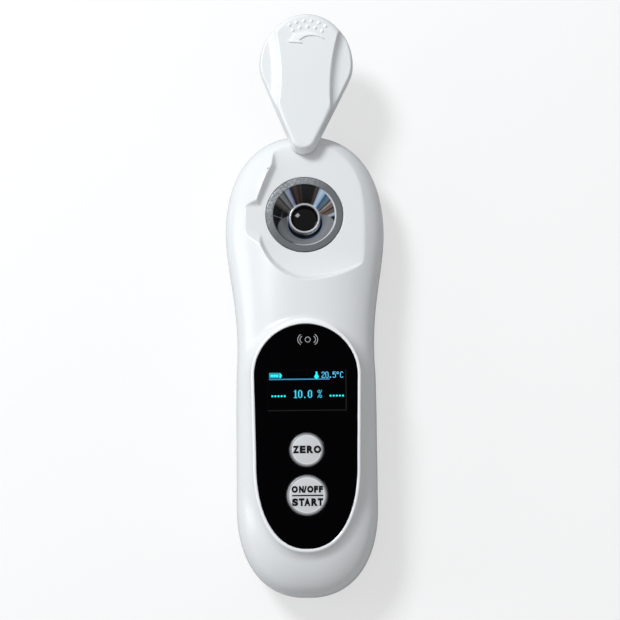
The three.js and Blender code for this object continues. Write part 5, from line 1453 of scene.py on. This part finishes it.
class REFRACTOMETER_OT_lid(bpy.types.Operator):
    """Moulds the teardrop lid with its scoops, grip dots and raised arrow"""

    bl_idname = "refractometer.lid"
    bl_label = "Lid"

    def execute(self, context):
        sizes = context.scene.refractometer_sizes
        teardrop = Teardrop()

        def shown(points):
            return lid_skin(points, teardrop)[0] > -LID_SHOWN

        low, high = corners("lid_cover")
        high[2] = LID_TOP
        shell = moulded("lid_shell", lid_field(teardrop), shown, low, high, sizes.lid_cell / MM, LID_SPLITS,
                        finish_of("lid"))
        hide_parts("lid_cover")
        dots = self.grip_dots(sizes)
        arrow = self.arrow()
        for piece in (shell, dots, arrow):
            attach(piece, "lid")
        return {"FINISHED"}

    def grip_dots(self, sizes):
        places = []
        for count, radius in DOT_ROWS:
            for i in range(count):
                angle = DOT_SPAN * (i / (count - 1) - 0.5)
                places.append(self.on_lid(*self.on_arc(radius, angle), LID_TOP - DOT_SINK))

        def dome(tree, group_in):
            inputs = {"Segments": 20, "Rings": 12, "Radius": group_in.outputs["Radius"]}
            ball = add_node(tree, "GeometryNodeMeshUVSphere", inputs)
            return add_node(tree, "GeometryNodeSetShadeSmooth", {"Geometry": ball.outputs["Mesh"]}).outputs[0]

        return grown("grip_dots", places, dome, {"Radius": sizes.dot_radius}, finish_of("raised"))

    def on_arc(self, radius, angle):
        return MARK_CENTRE[0] + radius * math.sin(angle), MARK_CENTRE[1] + radius * math.cos(angle)

    def on_lid(self, u, t, z):
        c, s = math.cos(LID_LEAN), math.sin(LID_LEAN)
        return u * c + t * s, PIVOT_Y - u * s + t * c, z

    def arrow(self):
        """A band that tapers along an arc from the head at the left to its tail at the right."""
        steps = 28
        outer, inner = [], []
        for k in range(steps + 1):
            angle = mix(*ARROW_SPAN, k / steps)
            outer.append(self.on_arc(mix(*ARROW_OUTER, k / steps), angle))
            inner.append(self.on_arc(mix(*ARROW_INNER, k / steps), angle))
        outline = outer + inner[::-1] + list(ARROW_HEAD)
        placed = [self.on_lid(u, t, 0)[:2] for u, t in outline]
        return flat_shape("lid_arrow", [placed], LID_TOP - ARROW_ROOT, LID_TOP + ARROW_RISE, ARROW_BEVEL,
                          finish_of("raised"))


class REFRACTOMETER_OT_dish(bpy.types.Operator):
    """Turns the steel dish and the prism's round face"""

    bl_idname = "refractometer.dish"
    bl_label = "Dish and prism"

    def execute(self, context):
        steps = context.scene.refractometer_sizes.turn_steps
        centre = (0, WELL_Y)
        dish = turned("dish_steel", self.dish_profile(), centre, finish_of("dish"), steps)
        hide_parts("sample_dish")
        foot_level = PRISM_LOW[2] + PRISM_FOOT
        dome = [(PRISM_RADIUS * k / 16, PRISM_TOP + DOME_RISE - DOME_CROWN * (k / 16) ** 2)
                for k in range(16, -1, -1)]
        profile = [(0, foot_level), (PRISM_RADIUS, foot_level), *dome]
        glass = turned("prism_glass", profile, centre, finish_of("prism"), steps)
        foot = self.wedge()
        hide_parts("prism")
        for piece in (dish, glass, foot):
            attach(piece, "housing")
        return {"FINISHED"}

    def dish_profile(self):
        """The dish in section, from its foot by the outside and the mouth down to the prism's bore."""
        run, rise = MOUTH - DISH_FOOT, DISH_TOP - 0.3 - DISH_FLOOR
        length = math.hypot(run, rise)
        under_r = DISH_FOOT + DISH_WALL * rise / length
        under_z = DISH_FLOOR - DISH_WALL * run / length
        hub_top = under_z + (HUB - under_r) * rise / run
        flange_foot = DISH_TOP - FLANGE
        neck = under_r + (flange_foot - under_z) * run / rise
        rim, lip, toe, ring, seat = DISH_ROUNDS
        cone_top, cone_foot = (MOUTH, DISH_TOP - lip), (DISH_FOOT + toe, DISH_FLOOR + CONE_RISE)
        cone = [(mix(cone_top[0], cone_foot[0], k / 10), mix(cone_top[1], cone_foot[1], k / 10))
                for k in range(1, 10)]
        return [
            (PRISM_BORE, DISH_LOW[2]), (HUB, DISH_LOW[2]), (HUB, hub_top), (neck, flange_foot),
            (DISH_RADIUS, flange_foot),
            *rounded((DISH_RADIUS, DISH_TOP - rim), (DISH_RADIUS - rim, DISH_TOP), (DISH_RADIUS, DISH_TOP)),
            *rounded((MOUTH + lip, DISH_TOP), cone_top, (MOUTH, DISH_TOP)),
            *cone,
            *rounded(cone_foot, (DISH_FOOT - TOE_REACH, DISH_FLOOR), (DISH_FOOT, DISH_FLOOR)),
            (BEZEL, DISH_FLOOR),
            *rounded((BEZEL, BEZEL_TOP - ring), (BEZEL - ring, BEZEL_TOP), (BEZEL, BEZEL_TOP)),
            *rounded((PRISM_BORE + seat, BEZEL_TOP), (PRISM_BORE, BEZEL_TOP - seat), (PRISM_BORE, BEZEL_TOP)),
        ]

    def wedge(self):
        """The prism's foot: a bar with two leaning sides."""
        low, high = PRISM_LOW[2], PRISM_LOW[2] + WEDGE_RISE
        sides = ((-WEDGE_TOP, high), (-WEDGE_FOOT, low), (WEDGE_FOOT, low), (WEDGE_TOP, high))
        points = [(x, WELL_Y + y, z) for x in (-WEDGE_HALF, WEDGE_HALF) for y, z in sides]
        faces = [(a, (a + 1) % 4, (a + 1) % 4 + 4, a + 4) for a in range(4)] + [(0, 1, 2, 3), (4, 5, 6, 7)]
        mesh = raw_mesh("prism_wedge", points, faces)
        mesh.materials.append(finish_of("prism"))
        faced_out(mesh)
        return linked("prism_wedge", mesh)


def panel_points(offset=0.0, steps=96):
    """The panel's outline, grown by an offset."""
    top, end = [], []
    for k in range(steps + 1):
        angle = math.pi * k / steps
        reach = PANEL_TOP_HALF + offset
        top.append((reach * math.cos(angle), PANEL_TOP_Y + reach * math.sin(angle)))
        power = 2 / PANEL_END_POWER
        c, s = math.cos(angle), math.sin(angle)
        across = math.copysign(abs(c) ** power, -c) * (PANEL_END_HALF + offset)
        end.append((across, PANEL_END_Y - (PANEL_END_LENGTH + offset) * abs(s) ** power))
    return top + end


def circle_points(centre, radius, steps=96):
    return [(centre[0] + radius * math.cos(2 * math.pi * k / steps),
             centre[1] + radius * math.sin(2 * math.pi * k / steps)) for k in range(steps)]


class REFRACTOMETER_OT_panel(bpy.types.Operator):
    """Cuts the black panel and prints the window's rim and the signal mark on it"""

    bl_idname = "refractometer.panel"
    bl_label = "Panel"

    def execute(self, context):
        top = PANEL_HIGH[2]
        holes = [circle_points((0, y), radius + KEY_SLACK) for y, radius in key_places()]
        panel = flat_shape("panel_sheet", [panel_points(), *holes], PANEL_LOW[2], top, PANEL_BEVEL,
                           finish_of("panel"))
        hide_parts("display_panel")
        rim = self.window_rim(top)
        mark = self.signal_mark(top)
        for piece in (panel, rim, mark):
            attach(piece, "housing")
        return {"FINISHED"}

    def window_rim(self, top):
        """The window's edge under the sheet, which shows at the right and the bottom."""
        outlines = []
        for low, high in (RIM_OUTER, RIM_INNER):
            east, west = DISPLAY_PLACE[0] + high[0], DISPLAY_PLACE[0] + low[0]
            north, south = DISPLAY_PLACE[1] + high[1], DISPLAY_PLACE[1] + low[1]
            outlines.append([(east, north), (west, north), (west, south), (east, south)])
        return flat_shape("window_rim", outlines, top - PRINT_SUNK, top + RIM_RISE, 0.0, finish_of("window"))

    def signal_mark(self, top):
        """A small ring between two pairs of arcs."""
        level = (top - PRINT_SUNK, top + PRINT_RISE)
        ring = [circle_points(MARK_PLACE, radius, 48) for radius in MARK_RADII]
        shapes = [flat_shape("signal_ring", ring, *level, 0.0, finish_of("mark"))]
        for side in (-1, 1):
            for reach, half_turn in ARCS:
                band = []
                for radius, way in ((reach + ARC_HALF_WIDTH, 1), (reach - ARC_HALF_WIDTH, -1)):
                    for k in range(17):
                        angle = way * half_turn * (2 * k / 16 - 1)
                        across = side * (ARC_SHIFT + radius * math.cos(angle))
                        band.append((MARK_PLACE[0] + across, MARK_PLACE[1] + radius * math.sin(angle)))
                shapes.append(flat_shape("signal_arc", [band], *level, 0.0, finish_of("mark")))
        return joined("signal_mark", shapes)


# Dots of the display's characters, row by row; a count before a row repeats it
SMALL_GLYPHS = {
    "0": ".###. 8*#...# .###.",
    "2": ".###. 2*#...# ....# ...#. ..#.. .#... 2*#.... #####",
    "5": "##### 2*#.... ####. #...# 3*....# #...# .###.",
    ".": "8*..... 2*.##..",
    "o": ".##.. 2*#..#. .##.. 6*.....",
    "C": ".###. #...# 6*#.... #...# .###.",
}
LARGE_GLYPHS = {
    "0": "..###.. .##.##. 9*##...## .##.##. ..###..",
    "1": "...##.. ..###.. .#.##.. 9*...##.. .######",
    ".": "11*....... 2*..##...",
    "%": ".##...# #..#..# 2*#..#.#. .##.#.. ....#.. ...#... ..#.... ..#.##. 2*.#.#..# #..#..# #...##.",
    " ": "13*.......",
}
DISPLAY_DOTS = (128, 64)
DISPLAY_PITCH = 29.42 / DISPLAY_DOTS[0]
DISPLAY_PLACE = (0.4, DISPLAY_Y - 0.1)
DOT_SHARE = 0.9
# Words with the column and the row of their first dot
READING = ("10.0 %", 41, 31)
DEGREES = ("20.5oC", 88, 61)
# Blocks of dots as two columns and two rows, and rounds as centre, radius and spread
DROP_BLOCKS = ((78, 81, 56, 62), (79, 80, 62, 63))
CHARGE_BLOCKS = ((4, 17, 54, 58), (19, 21, 52, 60), (21, 22, 53, 59), (22, 23, 55, 57))
CASE_BLOCK = (2, 19, 52, 61)
LINE_BLOCK = (2, 101, 49, 51)
DROP_ROUND = (79, 53.5, 3.6, 0.95)
SPOT_ROUND = (21.8, 1.7, 0.7)
SPOT_LEFTS = (6.5, 101.5)
SPOT_PITCH = 5.07


class REFRACTOMETER_OT_display(bpy.types.Operator):
    """Lights the display's dots"""

    bl_idname = "refractometer.display"
    bl_label = "Lit display"

    def execute(self, context):
        drop = self.blocks(*DROP_BLOCKS) + self.ball(*DROP_ROUND)
        charge = self.blocks(*CHARGE_BLOCKS)
        case = [dot for dot in self.blocks(CASE_BLOCK) if dot not in set(charge)]
        spots = []
        for left in SPOT_LEFTS:
            for k in range(5):
                spots += self.ball(left + SPOT_PITCH * k, *SPOT_ROUND)
        rows = (("display_icons", drop + charge + spots, "lit"), ("display_case", case, "dim"),
                ("display_line", self.blocks(LINE_BLOCK), "line"),
                ("display_degrees", self.glyph_dots(SMALL_GLYPHS, *DEGREES), "pale"),
                ("display_reading", self.glyph_dots(LARGE_GLYPHS, *READING), "word"))
        for piece in [self.lit(*row) for row in rows]:
            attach(piece, "housing")
        return {"FINISHED"}

    def blocks(self, *edges):
        return [(x, y) for x0, x1, y0, y1 in edges for x in range(x0, x1) for y in range(y0, y1)]

    def ball(self, x, y, radius, spread):
        """Dots within a radius of a centre that lies between four of them."""
        reach = [k + 0.5 for k in range(-5, 5)]
        return [(x + i * spread, y + j * spread) for i in reach for j in reach if math.hypot(i, j) <= radius]

    def glyph_rows(self, plan):
        rows = []
        for part in plan.split():
            count, _, row = part.rpartition("*")
            rows += [row] * int(count or 1)
        return rows

    def glyph_dots(self, glyphs, words, left, top):
        pitch = len(self.glyph_rows(glyphs["0"])[0]) + 1
        dots = []
        for n, letter in enumerate(words):
            for row, line in enumerate(self.glyph_rows(glyphs[letter])):
                dots += [(left + pitch * n + k, top - row) for k, mark in enumerate(line) if mark == "#"]
        return dots

    def lit(self, name, dots, look):
        left, foot = (middle - (count - 1) / 2 * DISPLAY_PITCH
                      for middle, count in zip(DISPLAY_PLACE, DISPLAY_DOTS))
        level = PANEL_HIGH[2] + PRINT_RISE
        places = [(left + x * DISPLAY_PITCH, foot + y * DISPLAY_PITCH, level) for x, y in dots]

        def tile(tree, group_in):
            size_out = group_in.outputs["Dot size"]
            box = add_node(tree, "ShaderNodeCombineXYZ", {"X": size_out, "Y": size_out, "Z": PRINT_RISE * MM})
            return add_node(tree, "GeometryNodeMeshCube", {"Size": box.outputs[0]}).outputs["Mesh"]

        return grown(name, places, tile, {"Dot size": DISPLAY_PITCH * DOT_SHARE * MM}, finish_of(look))


# Letters of the keys with their left and right edges from the key's centre, line by line
ZERO_LINES = (
    (0.05, 2.85, (("Z", -5.25, -2.8), ("E", -2.6, -0.4), ("R", 0.0, 2.55), ("O", 2.6, 5.4))),
)
START_LINES = (
    (2.15, 2.55, (("O", -5.75, -3.4), ("N", -3.0, -1.2), ("/", -1.3, -0.1), ("O", 0.0, 2.35),
                  ("F", 2.55, 4.05), ("F", 4.35, 5.85))),
    (-2.6, 2.85, (("S", -5.6, -3.35), ("T", -3.1, -1.0), ("A", -1.1, 1.2), ("R", 1.5, 3.9), ("T", 3.9, 5.9))),
)
# Rule between the words as its width, height and place
START_RULE = (11.5, 0.5, 0.2, -0.15)
LETTER_WEIGHT = 0.2
LETTER_DEPTH = 0.06
RULE_DEPTH = 0.05
# Bead on a key's crown, as insets from the face's edge and rises above it
KEY_BEAD = ((0.02, -0.07), (0.12, 0.03), (0.22, 0.03), (0.32, 0.03))
KEY_FALL = 0.7
KEY_STEM = 1.7
KEY_STEP = 0.5
KEY_CLEAR = 0.1


class REFRACTOMETER_OT_keys(bpy.types.Operator):
    """Turns the two keys and prints their words"""

    bl_idname = "refractometer.keys"
    bl_label = "Keys"

    def execute(self, context):
        sizes = context.scene.refractometer_sizes
        for word, low, high in (("zero", ZERO_LOW, ZERO_HIGH), ("start", START_LOW, START_HIGH)):
            self.cap(word, low, high, sizes.turn_steps)
        self.words("zero_word", "zero_button", ZERO_LINES, ZERO_LOW, ZERO_HIGH)
        self.words("start_words", "start_button", START_LINES, START_LOW, START_HIGH, START_RULE)
        return {"FINISHED"}

    def cap(self, word, low, high, steps):
        """A crowned key with a fine bead inside its rounded shoulder."""
        y, foot, top = (low[1] + high[1]) / 2, low[2], high[2]
        flange = (high[0] - low[0]) / 2
        radius = flange - KEY_FLANGE
        face = radius - KEY_SHOULDER
        fall = KEY_SHOULDER * KEY_FALL
        edge = top - KEY_CROWN
        rim = [(face + KEY_SHOULDER * math.cos(math.pi / 2 * k / 8),
                edge - fall + fall * math.sin(math.pi / 2 * k / 8)) for k in range(8)]
        bead = [(face - inset, edge + rise) for inset, rise in KEY_BEAD]
        crown = [(face * k / 10, top - KEY_CROWN * (k / 10) ** 2) for k in range(9, -1, -1)]
        stem, step, skirt = KEY_STEM, foot + KEY_STEP, LEDGE_FOOT - KEY_CLEAR
        profile = [(0, foot), (stem, foot), (stem, step), (flange, step), (flange, skirt), (radius, skirt),
                   *rim, *bead, *crown]
        cap = turned(word + "_cap", profile, (0, y), finish_of(word), steps)
        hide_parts(word + "_key")
        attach(cap, word + "_button")

    def words(self, name, body, lines, low, high, rule=None):
        """Prints words on a key's crown, and a line between them."""
        y, top = (low[1] + high[1]) / 2, high[2]
        face = (high[0] - low[0]) / 2 - KEY_FLANGE - KEY_SHOULDER
        pieces = []
        for offset, height, letters in lines:
            for letter, left, right in letters:
                centre = ((left + right) / 2, y + offset)
                pieces.append(lettering(name + "_letter", letter, right - left, height, centre,
                                        LETTER_WEIGHT, LETTER_DEPTH, finish_of("ink")))
        if rule:
            width, height, x, offset = rule
            pieces.append(ruled(name + "_rule", width, height, (x, y + offset), RULE_DEPTH, finish_of("ink")))
        print_piece = joined(name, pieces)
        for vertex in print_piece.data.vertices:
            reach = math.hypot(vertex.co.x / MM, vertex.co.y / MM - y) / face
            vertex.co.z += (top - KEY_CROWN * min(reach, 1) ** 2) * MM
        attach(print_piece, body)


# Case screws: head, cross recess and shank
HEAD_DEPTH = 1.7
CROSS_LENGTH = 2.8
CROSS_WIDTH = 0.6
CROSS_HEIGHT = 1.6
SHANK_RADIUS = 1.3
SHANK_LENGTH = 13.8
SHANK_SUNK = 0.1


class REFRACTOMETER_OT_case_screws(bpy.types.Operator):
    """Sets the four case screws with their cross recesses"""

    bl_idname = "refractometer.case_screws"
    bl_label = "Case screws"

    def execute(self, context):
        places = [(x, y, SCREW_LEVEL) for x, y in COLUMN_PLACES]

        def moved(tree, geometry, level):
            inputs = {"Geometry": geometry, "Translation": (0, 0, level * MM)}
            return add_node(tree, "GeometryNodeTransform", inputs).outputs[0]

        def screw(tree, group_in):
            inputs = {"Vertices": 48, "Side Segments": 1, "Radius": group_in.outputs["Head radius"],
                      "Depth": HEAD_DEPTH * MM}
            head = add_node(tree, "GeometryNodeMeshCylinder", inputs).outputs["Mesh"]
            cut = add_node(tree, "GeometryNodeMeshBoolean", operation="DIFFERENCE")
            tree.links.new(moved(tree, head, -HEAD_DEPTH / 2), cut.inputs["Mesh 1"])
            for width, length in ((CROSS_LENGTH, CROSS_WIDTH), (CROSS_WIDTH, CROSS_LENGTH)):
                size = (width * MM, length * MM, CROSS_HEIGHT * MM)
                bar = add_node(tree, "GeometryNodeMeshCube", {"Size": size}).outputs["Mesh"]
                tree.links.new(moved(tree, bar, -HEAD_DEPTH), cut.inputs["Mesh 2"])
            inputs = {"Vertices": 24, "Radius": SHANK_RADIUS * MM, "Depth": SHANK_LENGTH * MM}
            shank = add_node(tree, "GeometryNodeMeshCylinder", inputs).outputs["Mesh"]
            both = tree.nodes.new("GeometryNodeJoinGeometry")
            tree.links.new(cut.outputs["Mesh"], both.inputs[0])
            tree.links.new(moved(tree, shank, SHANK_LENGTH / 2 - SHANK_SUNK), both.inputs[0])
            return both.outputs[0]

        screws = grown("case_screws", places, screw, {"Head radius": SCREW_HEAD * MM}, finish_of("steel"))
        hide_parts("case_screw_1", "case_screw_2", "case_screw_3", "case_screw_4")
        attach(screws, "housing")
        return {"FINISHED"}


class REFRACTOMETER_OT_inner_finishes(bpy.types.Operator):
    """Gives the carried-over inner pieces their finishes"""

    bl_idname = "refractometer.inner_finishes"
    bl_label = "Inner finishes"

    def execute(self, context):
        for finish, names in INNER_FINISHES.items():
            for name in names:
                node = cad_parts[name]
                node.data.materials.clear()
                node.data.materials.append(finish_of(finish))
        return {"FINISHED"}


class REFRACTOMETER_PT_panel(bpy.types.Panel):
    """Lists the pieces and their values"""

    bl_idname = "REFRACTOMETER_PT_panel"
    bl_label = "Digital Refractometer"
    bl_space_type = "VIEW_3D"
    bl_region_type = "UI"
    bl_category = "Refractometer"

    def draw(self, context):
        scene = context.scene
        for group in (scene.refractometer_colours, scene.refractometer_sizes, scene.refractometer_stage):
            box = self.layout.box()
            for name in group.bl_rna.properties.keys():
                if name not in ("rna_type", "name"):
                    box.prop(group, name)
        for operator in OPERATORS:
            self.layout.operator(operator.bl_idname)


OPERATORS = (
    REFRACTOMETER_OT_stage,
    REFRACTOMETER_OT_front_shell,
    REFRACTOMETER_OT_rear_shell,
    REFRACTOMETER_OT_lid,
    REFRACTOMETER_OT_dish,
    REFRACTOMETER_OT_panel,
    REFRACTOMETER_OT_display,
    REFRACTOMETER_OT_keys,
    REFRACTOMETER_OT_case_screws,
    REFRACTOMETER_OT_inner_finishes,
)
GROUPS = {
    "refractometer_colours": RefractometerColours,
    "refractometer_sizes": RefractometerSizes,
    "refractometer_stage": RefractometerStage,
}


def register():
    for name, group in GROUPS.items():
        bpy.utils.register_class(group)
        setattr(bpy.types.Scene, name, PointerProperty(type=group))
    for operator in OPERATORS:
        bpy.utils.register_class(operator)
    bpy.utils.register_class(REFRACTOMETER_PT_panel)


def unregister():
    bpy.utils.unregister_class(REFRACTOMETER_PT_panel)
    for operator in reversed(OPERATORS):
        bpy.utils.unregister_class(operator)
    for name, group in GROUPS.items():
        delattr(bpy.types.Scene, name)
        bpy.utils.unregister_class(group)


def main():
    register()
    for operator in OPERATORS:
        name = operator.bl_idname.split(".")[1]
        getattr(bpy.ops.refractometer, name)()


if __name__ == "__main__":
    main()
